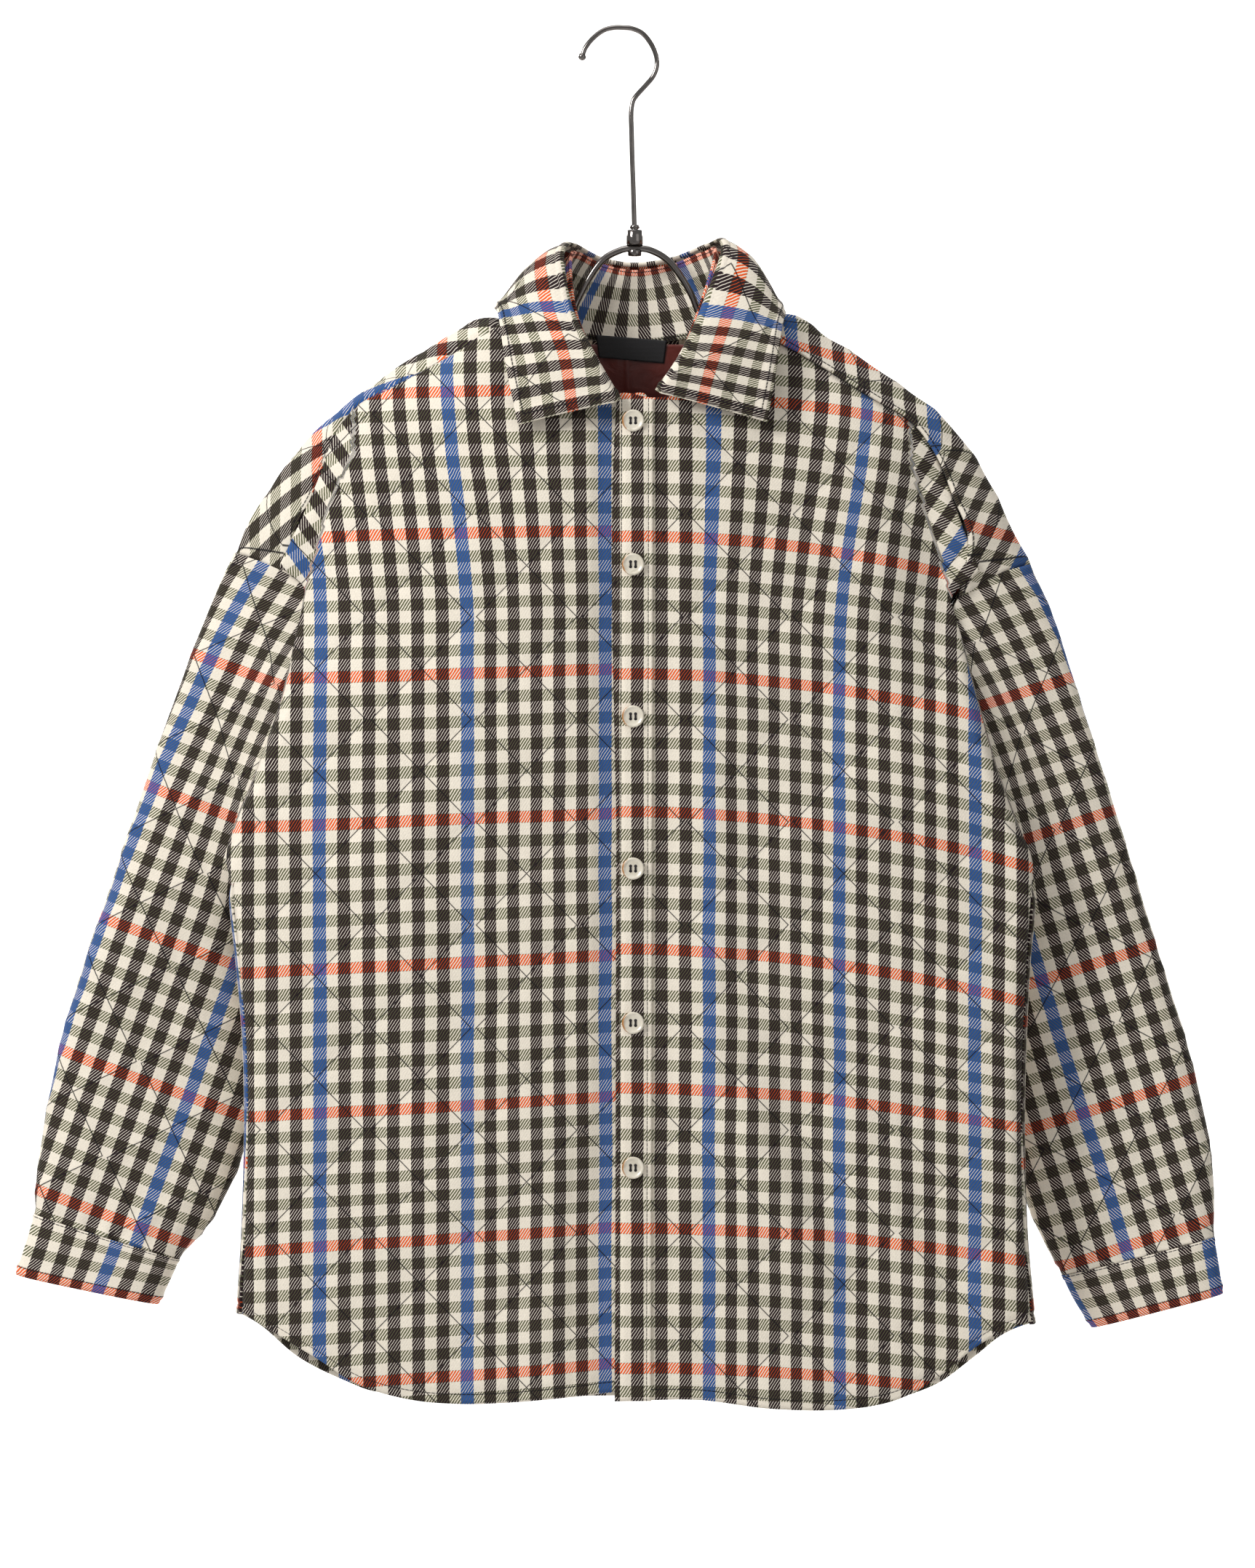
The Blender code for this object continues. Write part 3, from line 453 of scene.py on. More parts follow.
def front_shape(side):
    column = 0 if side < 0 else 1
    at = panel(Seam(cut(YOKE_SEAMS[column])), Seam(cut(HEMS[column])),
               Seam(cut(FRONT_EDGES[column])), Seam(cut(OUTER_EDGES[column])))
    hem_length = Seam(cut(HEMS[column])).length
    lines = np.array(BLUE_LINES[column]) * MM
    rows = np.array(ORANGE_ROWS[column]) * MM

    def shape(s, t):
        x, z = at(s, t)
        edge = body_edge(x, z)
        y = front_depth(x, z) + ripples(x, z) * soft_step((edge - abs(x)) / 0.03)
        far, lean_drop, lean_reach, lean_span = LEANS[column]
        lean = (far * soft_step((z + lean_drop) / LEAN_HEIGHT)
                * np.clip((side * x - lean_reach) / lean_span, 0.0, 1.0))
        if side < 0:
            y = y + LAP_STEP * soft_step((x + 0.026) / 0.015)
            sag = (-x - 0.018) / 0.140 * (0.0025 + 0.007 * (-z - 0.350) / 0.5)
        else:
            sag = (0.024 - 0.009 * soft_step((-z - 0.64) / 0.20)) * (x / 0.221) ** 2
        u = np.interp(x - lean, lines, np.arange(-3 if side < 0 else 0, 5)[:5] * BLUE_PITCH)
        v = np.interp(-z - sag, rows, np.arange(len(rows)) * ORANGE_PITCH)
        behind = (abs(x) > edge) & (z > -0.575)
        tilted = x * math.cos(ARMHOLE_TURN) - side * z * math.sin(ARMHOLE_TURN)
        fallen = -z * math.cos(ARMHOLE_TURN) - side * x * math.sin(ARMHOLE_TURN)
        u, v = np.where(behind, tilted, u), np.where(behind, fallen, v)
        hem = (1 - t) * FRONT_HEIGHT
        rim = np.where(t > 0.94, hem - HEM_STITCH + SEAM_STITCH, FAR_IN)
        lattice = (x + 0.1015) / DIAMOND[0], (-z - 0.6865) / DIAMOND[1]
        fade = (soft_step((abs(x) - 0.032) / 0.010) * soft_step(t * FRONT_HEIGHT / 0.010)
                * soft_step(hem / 0.012) * soft_step((1 - s) * FRONT_SPAN / 0.012))
        return np.stack((x, y, z), 1), (u, v), (rim, s * hem_length), lattice, fade
    return shape


front_left = cloth_piece("front_panel_left", 88, 230, front_shape(-1), twill, CLOTH_WALL,
                         flip=True)
front_right = cloth_piece("front_panel_right", 88, 230, front_shape(1), twill, CLOTH_WALL)
for piece, node, flat_size, area in (
        (front_left, "front_left", (0.30, 0.75), 0.170),
        (front_right, "front_right", (0.31, 0.76), 0.175)):
    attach(piece, "root")
    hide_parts(node)


# The button band and its six buttons. The band is the right front's edge folded over and
# sewn down along a raised fold. The buttons are turned from horn-look resin, with four
# holes and black thread in two upright bars.
BAND_LEFT = -0.0038
BAND_WIDTH = 0.0245
BAND_TOP, BAND_BOTTOM = -0.2575, -0.9405
BAND_THICK = 0.0016
BAND_CLEAR = 0.0025
BAND_LEAN = -0.0015       # how far the band drifts sideways down to the hem
BAND_RIDGE = 0.0215       # distance of the raised fold from the band's edge
BAND_STITCH = 0.0030
BUTTON_X = 0.0070
BUTTON_DROPS = (0.273, 0.371, 0.4745, 0.578, 0.683, 0.7815)
BUTTON_RADIUS = 0.0078
BUTTON_THICK = 0.0034
# Shares of the radius and the thickness, from the middle of the back round to the dished face
BUTTON_PROFILE = [(0, 0), (0.70, 0), (0.90, 0.22), (0.985, 0.45), (1, 0.62), (0.985, 0.82),
                  (0.93, 0.97), (0.86, 1), (0.79, 0.93), (0.72, 0.80), (0.62, 0.74),
                  (0.35, 0.71), (0, 0.70)]
RIM_SHARE = 0.97          # the turned rim is a little narrower than the button's seat
HOLE_SPACING = 0.0017     # from the button's middle to a hole, across and up
HOLE_RADIUS = 0.00105
THREAD_RADIUS = 0.00042


def band_shape(s, t):
    z = BAND_TOP + (BAND_BOTTOM - BAND_TOP) * t
    x = BAND_LEFT + BAND_LEAN * t + BAND_WIDTH * s
    y = front_depth(x, z) - BAND_CLEAR + ripples(x, z)
    raised = np.exp(-((s * BAND_WIDTH - BAND_RIDGE) / 0.0014) ** 2) * 0.0007
    rolled = 0.0009 * (1 - np.sqrt(1 - np.clip(1 - s * BAND_WIDTH / 0.002, 0, 1) ** 2))
    u = np.interp(x, np.array(BLUE_LINES[1]) * MM, np.arange(5) * BLUE_PITCH)
    v = np.interp(-z, np.array(ORANGE_ROWS[1]) * MM, np.arange(10) * ORANGE_PITCH)
    rim = (0.5 - abs(s - 0.5)) * BAND_WIDTH - BAND_STITCH + SEAM_STITCH
    places = np.stack((x, y - raised + rolled, z), 1)
    return places, (u, v), (rim, t * (BAND_TOP - BAND_BOTTOM)), UNQUILTED, 0.0


band = cloth_piece("placket_band", 20, 230, band_shape, twill, BAND_THICK)


def horn():
    """Horn-look resin: grey cream face, amber and brown towards the rim; painted shade deepens the
    amber on every button's left side.
    """
    material, shader, t = recipe("horn_resin", 0.28)
    spot = t.node("TexCoord", {}, {}, output=3)
    cloud = t.node("TexNoise", {}, {"Vector": spot, "Scale": 170.0, "Detail": 3.0,
                                    "Distortion": 1.2})
    rim = t.node("Attribute", {"attribute_name": "rim"}, {}, output=2)
    # Painted shade: the amber reaches further in on the left side of every button, as if shaded
    # there; the amber towards the rim is the resin's own.
    left = (BUTTON_X - t.node("SeparateXYZ", {}, {0: spot})) * (1 / BUTTON_RADIUS)
    amber = ((rim - 0.86) * 5.0 + (left - 0.55) * 2.2 + (cloud - 0.5) * 1.2).clamp()
    face = cloud.mix(srgb(236, 230, 214), srgb(196, 186, 166))
    colour = amber.mix(face, srgb(168, 112, 48))
    t.feed(shader.inputs["Base Color"], colour)
    shader.inputs["Coat Weight"].default_value = 0.5
    shader.inputs["Coat Roughness"].default_value = 0.12
    return material


def thread_black():
    """Spun black thread with its twist."""
    material, shader, t = recipe("black_thread", 0.75)
    spot = t.node("TexCoord", {}, {}, output=3)
    twist = t.node("TexWave", {"bands_direction": "DIAGONAL"}, {"Vector": spot, "Scale": 900.0})
    t.feed(shader.inputs["Base Color"], twist.mix(srgb(16, 15, 17), srgb(44, 40, 42)))
    t.feed(shader.inputs["Normal"],
           t.node("Bump", {}, {"Height": twist, "Strength": 0.4, "Distance": 0.0002}))
    return material


horn_resin, black_thread = horn(), thread_black()


def turned(name, profile, steps, material, place, axis):
    """A turned piece: profile rows of radius and height, spun about an axis at a place."""
    bm = bmesh.new()
    rim = bm.verts.layers.float.new("rim")
    widest = max(radius for radius, rise in profile)
    verts = []
    for radius, rise in profile:
        co = (radius, -rise, 0.0) if axis == "y" else (radius, 0.0, rise)
        vert = bm.verts.new(co)
        vert[rim] = radius / widest
        verts.append(vert)
    edges = [bm.edges.new(pair) for pair in zip(verts, verts[1:])]
    bmesh.ops.spin(bm, geom=verts + edges, cent=(0, 0, 0), steps=steps, angle=2 * math.pi,
                   axis=(0, 1, 0) if axis == "y" else (0, 0, 1), use_merge=True)
    bmesh.ops.remove_doubles(bm, verts=bm.verts, dist=1e-6)
    bmesh.ops.recalc_face_normals(bm, faces=bm.faces)
    bmesh.ops.translate(bm, verts=bm.verts, vec=place)
    return finished(name, bm, material)


for number, drop in enumerate(BUTTON_DROPS, start=1):
    z = -drop
    reach = np.array([-0.8, 0.0, 0.8] * 3) * BUTTON_RADIUS
    rise = np.repeat([-0.8, 0.0, 0.8], 3) * BUTTON_RADIUS
    y = float(np.min(front_depth(BUTTON_X + reach, z + rise))) - BAND_THICK - 0.0012
    rows = [(across * BUTTON_RADIUS * RIM_SHARE, up * BUTTON_THICK)
            for across, up in BUTTON_PROFILE]
    button = turned(f"button_horn_{number}", rows, 40, horn_resin, (BUTTON_X, y, z), "y")
    face_y = y - BUTTON_THICK * 0.72
    bm = bmesh.new()
    for side in (-1, 1):
        for step in (-1, 1):
            made = bmesh.ops.create_cone(bm, cap_ends=True, segments=14, radius1=HOLE_RADIUS,
                                         radius2=HOLE_RADIUS, depth=0.0005)["verts"]
            bmesh.ops.rotate(bm, verts=made, cent=(0, 0, 0),
                             matrix=Matrix.Rotation(math.radians(90), 3, "X"))
            bmesh.ops.translate(bm, verts=made, vec=(
                BUTTON_X + side * HOLE_SPACING, face_y + 0.00005, z + step * HOLE_SPACING))
        for strand in (-0.00035, 0.00035):
            bar = bmesh.ops.create_uvsphere(bm, u_segments=10, v_segments=8,
                                            radius=THREAD_RADIUS)["verts"]
            bmesh.ops.scale(bm, vec=(0.9, 1.2, 4.4), verts=bar)
            bmesh.ops.translate(bm, verts=bar, vec=(
                BUTTON_X + side * HOLE_SPACING + strand, face_y - 0.0002, z))
    threads = finished(f"button_thread_{number}", bm, black_thread)
    for piece in (button, threads):
        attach(piece, "root")
        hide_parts(f"button_{number}")

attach(band, "root")
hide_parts("button_band")


# The back: one quilted panel below the yoke, with the same shirt-tail hem. Its side seams
# lie a little way round to the front.
SIDE_WRAP = 0.0034
WRAP_SHARE = 0.02
BACK_HEIGHT = 0.55
TOP_STITCH = 0.0015       # stitching close beside a seam
BACK_HEM = [(-266, 883), (-249, 895), (-225, 917), (-196, 933), (-168, 943), (-60, 946),
            (60, 946), (110, 951), (175, 950), (215, 938), (243, 917), (262, 901), (284, 890)]
BACK_SEAM = [(-214, 402), (-150, 388), (-60, 380), (70, 380), (165, 388), (225, 406)]
ARMHOLES = ([(-267, 361), (-240, 371), (-219, 384), (-214, 402), (-219, 424), (-230, 466),
             (-246, 512), (-260, 552), (-266, 578)],
            [(280, 369), (254, 377), (234, 388), (225, 406), (227, 424), (239, 466),
             (252, 512), (266, 552), (275, 580)])
BACK_FOLDS = [(-120, 430, -150, 800, 24, 4.5), (-55, 410, -70, 860, 20, -3.5),
              (40, 420, 50, 900, 22, 4.0), (115, 430, 150, 850, 26, -3.5)]


def back_depth(x, z):
    edge = body_edge(x, z)
    y = shoulder_profile(ridge_distance(x, z), BACK_DEPTH)
    share = np.minimum(abs(x) / edge, 1.0)
    y = y - (y - PINCH_PLANE) * soft_step((-z - 0.530) / 0.050) * share ** 4
    y = y + fold_height(BACK_FOLDS, x, z) * soft_step((edge - abs(x)) / 0.080)
    turn = np.clip((abs(x) - edge + SIDE_ROUND) / SIDE_ROUND, 0.0, 1.0)
    low = soft_step((-z - 0.555) / 0.020)
    return y + (SIDE_PLANE - y) * (1.0 - np.sqrt(1.0 - turn * turn)) * low


def back_side(column, sign):
    rows = [row for row in ARMHOLES[column] if row[1] >= 402]
    rows += [(sign * (row[column + 1] - 0.5), row[0]) for row in BODY_EDGE if 580 < row[0] < 880]
    return Seam(cut(rows + [BACK_HEM[0 if sign < 0 else -1]]))


back_sides = (back_side(0, -1), back_side(1, 1))
back_at = panel(Seam(cut(BACK_SEAM)), Seam(cut(BACK_HEM)), *back_sides)


def over_the_cloth(places, s, t):
    """Reach of each place if its row of the grid were pulled straight about its middle."""
    order = np.lexsort((s, t))
    grid = places[order].reshape(len(np.unique(t)), -1, 3)
    steps = np.linalg.norm(np.diff(grid, axis=1), axis=2)
    over = np.pad(np.cumsum(steps, axis=1), ((0, 0), (1, 0)))
    middle = over.shape[1] // 2
    over += grid[:, [middle], 0] - over[:, [middle]]
    reach = np.empty(len(s))
    reach[order] = over.ravel()
    return reach


def back_shape(s, t):
    s = -WRAP_SHARE + (1 + 2 * WRAP_SHARE) * s
    low = soft_step((-back_sides[1].at(t)[:, 1] - 0.574) / 0.012)
    share = s * low + (s + WRAP_SHARE) / (1 + 2 * WRAP_SHARE) * (1 - low)
    wrap = np.maximum(np.maximum(-s, s - 1.0), 0.0) / WRAP_SHARE * low
    x, z = back_at(np.clip(share, 0, 1), t)
    y = back_depth(x, z) + ripples(x + 0.3, z) * soft_step((body_edge(x, z) - abs(x)) / 0.04)
    turned_x = x - np.sign(x) * SIDE_WRAP * wrap ** 1.5
    front_y = SIDE_PLANE + (front_depth(turned_x, z) - SIDE_PLANE) * soft_step(wrap * 1.4)
    x, y = np.where(wrap > 0, turned_x, x), np.where(wrap > 0, front_y, y)
    u, v = over_the_cloth(np.stack((x, y, z), 1), s, t), -z - 0.05 * x * x
    lattice = u / DIAMOND[0], (-z - 0.41) / DIAMOND[1]
    hem, seam = (1 - t) * BACK_HEIGHT, t * BACK_HEIGHT
    rim = np.where(t > 0.94, hem - HEM_STITCH + SEAM_STITCH,
                   np.where(t < 0.05, seam - TOP_STITCH + SEAM_STITCH, FAR_IN))
    fade = (soft_step((0.5 - abs(s - 0.5)) * 0.5 / 0.010) * soft_step(seam / 0.010)
            * soft_step(hem / 0.012))
    return np.stack((x, y, z), 1), (u, v), (rim, s * 0.53), lattice, fade


back = cloth_piece("back_panel", 150, 160, back_shape, twill, CLOTH_WALL, flip=True)
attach(back, "root")
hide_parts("back")


# The yoke: cut in one with the shoulders, it carries the whole garment on the hanger's
# arms. Shoulder strips come forward over the ridges to the front seams, and the back
# part runs down to the back's seam. Both are quilted like the panels.

# Millimetres a row, down the sleeve: reach and drop of the outer edge, reach and drop of the
# inner edge, depth of the middle, half thickness, share of the armhole's curve, back's fullness
LEFT_SLEEVE = [(-267, 361, -266, 578, 4, 21, 1.00, 4.0), (-285, 400, -268, 587, 8, 20, 0.70, 3.2),
               (-312, 470, -270, 599, 13, 19, 0.42, 2.8), (-336, 538, -269, 614, 18, 18, 0.20, 2.6),
               (-356, 596, -266, 632, 22, 18, 0.08, 2.6), (-375, 651, -262, 664, 25, 18, 0.00, 2.6),
               (-389, 698, -258, 702, 27, 18, 0.00, 2.6), (-400, 750, -257, 748, 28, 18, 0.00, 2.6),
               (-405, 785, -272, 796, 28, 18, 0.00, 2.6), (-407, 803, -290, 828, 27, 17, 0.00, 2.6),
               (-407, 819, -310, 850, 26, 16, 0.00, 2.6)]
RIGHT_SLEEVE = [(280, 369, 275, 580, 4, 21, 1.00, 4.0), (296, 404, 278, 589, 8, 20, 0.70, 3.2),
                (318, 470, 281, 601, 13, 19, 0.42, 2.8), (340, 538, 281, 616, 18, 18, 0.20, 2.6),
                (358, 596, 279, 634, 22, 18, 0.08, 2.6), (375, 651, 275, 668, 25, 18, 0.00, 2.6),
                (390, 698, 272, 706, 27, 18, 0.00, 2.6), (403, 750, 272, 756, 28, 18, 0.00, 2.6),
                (409, 790, 281, 806, 28, 18, 0.00, 2.6), (410, 814, 294, 840, 27, 17, 0.00, 2.6),
                (409, 835, 307, 861, 26, 16, 0.00, 2.6)]
YOKE_OVER = (0.0, 0.16, 0.30, 0.44, 0.60, 0.80, 1.0)
YOKE_STITCH = 0.0016
# The left strip's blue line lies where z = slope |x| - bend x^2 - level
STRIPE_SLOPE, STRIPE_BEND, STRIPE_LEVEL = 0.3756, 2.311, 0.2497
STRIP_ORANGE = 0.124
STRIP_WIDTH = 0.028
YOKE_BACK_HEIGHT = 0.18
RIDGE_SHARE = 0.30
# Turns round the sleeve's armhole at which the yoke's end meets it, front to back
DROP_TURNS = (0.108, 0.055, 0.0, -0.045, -0.085, -0.115, -0.139)
# The yoke's columns between its end and its neck, as shares along the ridge
SHOULDER_SHARES = (0.90, 0.77, 0.64, 0.51, 0.38, 0.25, 0.13, 0.03)
# Millimetres: reach, depth, drop, from the front seam over to the back seam
YOKE_NECKS = ([(-79, 4, 199), (-77, 9, 201), (-75, 14, 204), (-73, 19, 214), (-68, 23, 240),
               (-58, 26, 310), (-50, 27.5, 381)],
              [(103, 3, 196), (99, 9, 198), (95, 14, 203), (90, 19, 214), (84, 23, 240),
               (74, 26, 310), (66, 27.5, 381)])
YOKE_CENTRE = [(8, 19.5, 217), (8, 21, 226), (8, 22, 238), (8, 24, 255), (8, 26, 285),
               (8, 27.5, 325), (8, 28, 380)]


def ring_point(sleeve, armhole, s, t):
    """Places on a sleeve: s runs round from its outer edge over the front, t down it."""
    rows = np.array(sleeve, float)
    key = t * (len(rows) - 1)
    row = [smooth(np.arange(len(rows)), rows[:, k], key) for k in range(8)]
    outer_x, outer_z, inner_x, inner_z = (np.array((row[0], -row[1], row[2], -row[3])) * MM)
    turn = 2 * math.pi * s
    share = (1 - np.cos(turn)) / 2
    flatness = np.where(share < 0.5, 3.5, row[7])
    depth = (1 - np.minimum(abs(np.cos(turn)), 1.0) ** flatness) ** (1 / flatness)
    front = np.where(np.sin(turn) > 0, -1, 1)
    hole = np.array(armhole, float) * MM
    drop = hole[0, 1] + (hole[-1, 1] - hole[0, 1]) * share
    straight = hole[0, 0] + (hole[-1, 0] - hole[0, 0]) * share
    bend = smooth(hole[:, 1], hole[:, 0], drop) - straight
    x = outer_x + (inner_x - outer_x) * share + row[6] * bend
    z = outer_z + (inner_z - outer_z) * share
    return np.stack((x, (row[4] + front * row[5] * depth) * MM, z), axis=-1)


def at_depth(depth, x, z):
    return float(depth(np.array([x]), np.array([z]))[0])


def shoulder_column(side, share):
    ridge = ridge_seams[side].at(share)
    x0, z0 = Seam(cut(YOKE_SEAMS[side])).at(share)
    target = Seam(cut(BACK_SEAM)).at(0.5 + (side * 2 - 1) * (0.14 + 0.36 * share))
    down, lower = ridge + (target - ridge) * 0.16, ridge + (target - ridge) * 0.5
    top = np.array((x0, z0)) + (ridge - (x0, z0)) * 0.72
    return [(x0, at_depth(front_depth, x0, z0), z0), (top[0], -SHOULDER_ROUND * 0.72, top[1]),
            (ridge[0], 0.0, ridge[1]),
            (ridge[0] + (down[0] - ridge[0]) * 0.5, 0.0105, ridge[1] - 0.006),
            (down[0], at_depth(back_depth, *down), down[1]),
            (lower[0], at_depth(back_depth, *lower), lower[1]),
            (target[0], at_depth(back_depth, *target), target[1])]


def drop_column(side):
    sleeve = (LEFT_SLEEVE, RIGHT_SLEEVE)[side]
    turns = np.array(DROP_TURNS) % 1.0
    return [tuple(row) for row in ring_point(sleeve, ARMHOLES[side], turns, np.zeros(7))]


yoke_columns = []
centre = [(x * MM, y * MM, -drop * MM) for x, y, drop in YOKE_CENTRE]
for side in (0, 1):
    neck = [(x * MM, y * MM, -drop * MM) for x, y, drop in YOKE_NECKS[side]]
    middle = [(0.5 * a[0] + 0.5 * c[0], 0.2 * a[1] + 0.8 * c[1], 0.2 * a[2] + 0.8 * c[2])
              for a, c in zip(neck, centre)]
    half = [drop_column(side)]
    half += [shoulder_column(side, share) for share in SHOULDER_SHARES]
    half += [neck, middle]
    yoke_columns.append(half)
yoke_grid = np.array(yoke_columns[0] + [centre] + yoke_columns[1][::-1])


def yoke_at(s, t):
    """Places on the yoke: s runs along it from sleeve to sleeve, t over it to the back."""
    stations, key = np.arange(len(yoke_grid)), s * (len(yoke_grid) - 1)
    columns = [[smooth(stations, yoke_grid[:, k, axis], key) for k in range(len(YOKE_OVER))]
               for axis in range(3)]
    return np.stack([smooth(YOKE_OVER, column, t) for column in columns], axis=1)


def strip_shape(side):
    def shape(s, t):
        s = 0.5 + (side * 2 - 1) * (0.5 - s * 0.41)
        places = yoke_at(s, t * RIDGE_SHARE)
        x, y, z = places.T
        along = np.hypot(x - (-0.093, 0.111)[side], z + 0.195)
        across = (t - 1.0) * 0.026
        if side == 0:
            # The dark stripes follow the shoulder, and steepen towards the sleeve
            slope = 2 * STRIPE_BEND * abs(x) - STRIPE_SLOPE
            u = z - STRIPE_SLOPE * abs(x) + STRIPE_BEND * x * x + STRIPE_LEVEL
            u = u / np.sqrt(1 + slope * slope)
            v = (abs(x) - STRIP_ORANGE) * 1.125
        else:
            low = np.maximum(-z - 0.29, 0.0)
            u = x - 0.115 + 0.5 * low
            v = -z - 0.219 - 0.22 * (x - 0.109)
        rim = t * STRIP_WIDTH - YOKE_STITCH + SEAM_STITCH
        lattice = along / DIAMOND[0], across / DIAMOND[1] + 0.3
        fade = soft_step(t * STRIP_WIDTH / 0.008) * 0.8
        return places, (u, v), (rim, along), lattice, fade
    return shape


def yoke_back_shape(s, t):
    places = yoke_at(s, RIDGE_SHARE + (1 - RIDGE_SHARE) * t)
    x, y, z = places.T
    u, v = x * 1.01, -z + 0.010 * (1 - t)
    lattice = x / DIAMOND[0], (-z - 0.41) / DIAMOND[1]
    ridge, seam = t * YOKE_BACK_HEIGHT, (1 - t) * YOKE_BACK_HEIGHT
    rim = np.where(t > 0.9, seam - YOKE_STITCH + SEAM_STITCH, FAR_IN)
    fade = soft_step(ridge / 0.010) * soft_step(seam / 0.010)
    return places, (u, v), (rim, x), lattice, fade


yoke_left = cloth_piece("yoke_strip_left", 90, 14, strip_shape(0), twill, CLOTH_WALL, flip=True)
yoke_right = cloth_piece("yoke_strip_right", 90, 14, strip_shape(1), twill, CLOTH_WALL, flip=True)
yoke_back = cloth_piece("yoke_back", 190, 56, yoke_back_shape, twill, CLOTH_WALL, flip=True)
for piece, flat_size, area in ((yoke_left, (0.26, 0.04), None), (yoke_right, (0.26, 0.04), None),
                               (yoke_back, (0.60, 0.24), 0.095)):
    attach(piece, "root")
    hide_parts("yoke")


# The sleeves: quilted tubes set into the dropped armholes, bowed by their own weight and
# gathered a little into turned cuffs of the same cloth.
SLEEVE_WALL = 0.0018
CUFFS = ([(-407, 819.4, -310, 850.4, 26, 16, 0, 2.6), (-413, 840, -315, 862, 25, 16, 0, 2.6),
          (-420, 861, -324, 881, 24, 16, 0, 2.6)],
         [(409, 835.4, 307, 861.4, 26, 16, 0, 2.6), (412, 854, 315, 878, 25, 16, 0, 2.6),
          (415, 874, 327, 897, 24, 16, 0, 2.6)])
SLEEVE_LENGTH = 0.49
CUFF_HEIGHT = 0.044
CUFF_WIDTH = 0.102
CUFF_STITCH = 0.0060
# How the check leans with each sleeve, left and right: sine and cosine of the lean, and where
# the orange rows start down the sleeve, in metres
SLEEVE_LEANS = ((0.34, 0.94, 0.5055), (0.30, 0.95, 0.6138))
SLEEVE_BLUES = (0.128, 0.1745)  # the blue line's distance from the hook's line, square to it
FACING_SHARE = 0.8        # how far round the edge the blue line's distance is measured
HALF_RING = 64            # steps from a sleeve's outer edge to its inner edge


def round_the_edge(sleeve, armhole, s, t):
    """How much farther a place is from the outer edge over the cloth than straight, and how
    much of that the check's middle line takes up."""
    levels, shares = np.unique(t), np.linspace(0, 0.5, HALF_RING + 1)
    ring = ring_point(sleeve, armhole, np.tile(shares, len(levels)),
                      np.repeat(levels, HALF_RING + 1)).reshape(len(levels), HALF_RING + 1, 3)
    steps = np.linalg.norm(np.diff(ring, axis=1), axis=2)
    over = np.concatenate((np.zeros((len(levels), 1)), np.cumsum(steps, axis=1)), axis=1)
    straight = np.linalg.norm((ring - ring[:, :1])[:, :, (0, 2)], axis=2)
    extra, row = over - straight, np.searchsorted(levels, t)
    key = np.minimum(s, 1 - s) * 2 * HALF_RING
    k = np.clip(key.astype(int), 0, HALF_RING - 1)
    facing = FACING_SHARE * extra[row, HALF_RING // 2]
    return extra[row, k] + (extra[row, k + 1] - extra[row, k]) * (key - k), facing


def sleeve_shape(side):
    sleeve = (LEFT_SLEEVE, RIGHT_SLEEVE)[side]
    lean = SLEEVE_LEANS[side]

    def from_edge(x, z):
        return SLEEVE_BLUES[side] - lean[1] * abs(x) - lean[0] * z

    def shape(s, t):
        places = ring_point(sleeve, ARMHOLES[side], s, t)
        x, y, z = places.T
        share = (1 - np.cos(2 * math.pi * s)) / 2
        front = np.where(s < 0.5, 1.0, -1.0)
        extra, facing = round_the_edge(sleeve, ARMHOLES[side], s, t)
        edge = ring_point(sleeve, ARMHOLES[side], np.zeros_like(s), t)
        edge_u = from_edge(edge[:, 0], edge[:, 2])
        u = edge_u + front * (from_edge(x, z) - edge_u + extra) - facing
        gather = soft_step((t - 0.80) / 0.2)
        v = (lean[0] * abs(x) + lean[1] * -z - lean[2]) * (ORANGE_PITCH / 0.0965)
        pleat = 0.0011 * gather * np.sin(share * 34 + 1.0) * np.sin(2 * math.pi * s) ** 2
        sway = ripples(x * 1.3 + 0.2, z * 0.8) * np.sin(2 * math.pi * s) ** 2
        places[:, 1] += (pleat + sway) * front
        lattice = u / DIAMOND[0] + 0.2, v / DIAMOND[1]
        fade = soft_step(t * SLEEVE_LENGTH / 0.012) * soft_step((1 - t) * SLEEVE_LENGTH / 0.012)
        fade = fade * soft_step(abs(np.sin(math.pi * s)) * 6 + 0.4)
        return places, (u, v), (FAR_IN, t), lattice, fade
    return shape


def cuff_shape(side):
    rows = CUFFS[side]

    def shape(s, t):
        places = ring_point(rows, ARMHOLES[side], s, t)
        x, y, z = places.T
        share = (1 - np.cos(2 * math.pi * s)) / 2
        front = np.where(s < 0.5, 1.0, -1.0)
        u = front * share * CUFF_WIDTH + (0.038, -0.005)[side]
        v = (t - 0.94) * 0.046
        swell = 0.0008 * np.sin(math.pi * t)
        places[:, 1] -= swell * front
        rim = SEAM_STITCH + np.minimum((1 - t) * CUFF_HEIGHT - CUFF_STITCH,
                                       t * CUFF_HEIGHT - TOP_STITCH)
        return places, (u, v), (rim, u), UNQUILTED, 0.0
    return shape


for side, word in ((0, "left"), (1, "right")):
    sleeve = cloth_piece(f"sleeve_quilted_{word}", 110, 150, sleeve_shape(side), twill,
                         SLEEVE_WALL, flip=side == 0, tube=True)
    cuff = cloth_piece(f"cuff_turned_{word}", 110, 16, cuff_shape(side), twill, SLEEVE_WALL,
                       flip=side == 0, tube=True)
    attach(sleeve, "root")
    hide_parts(f"sleeve_{word}")
    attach(cuff, "root")
    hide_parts(f"cuff_{word}")


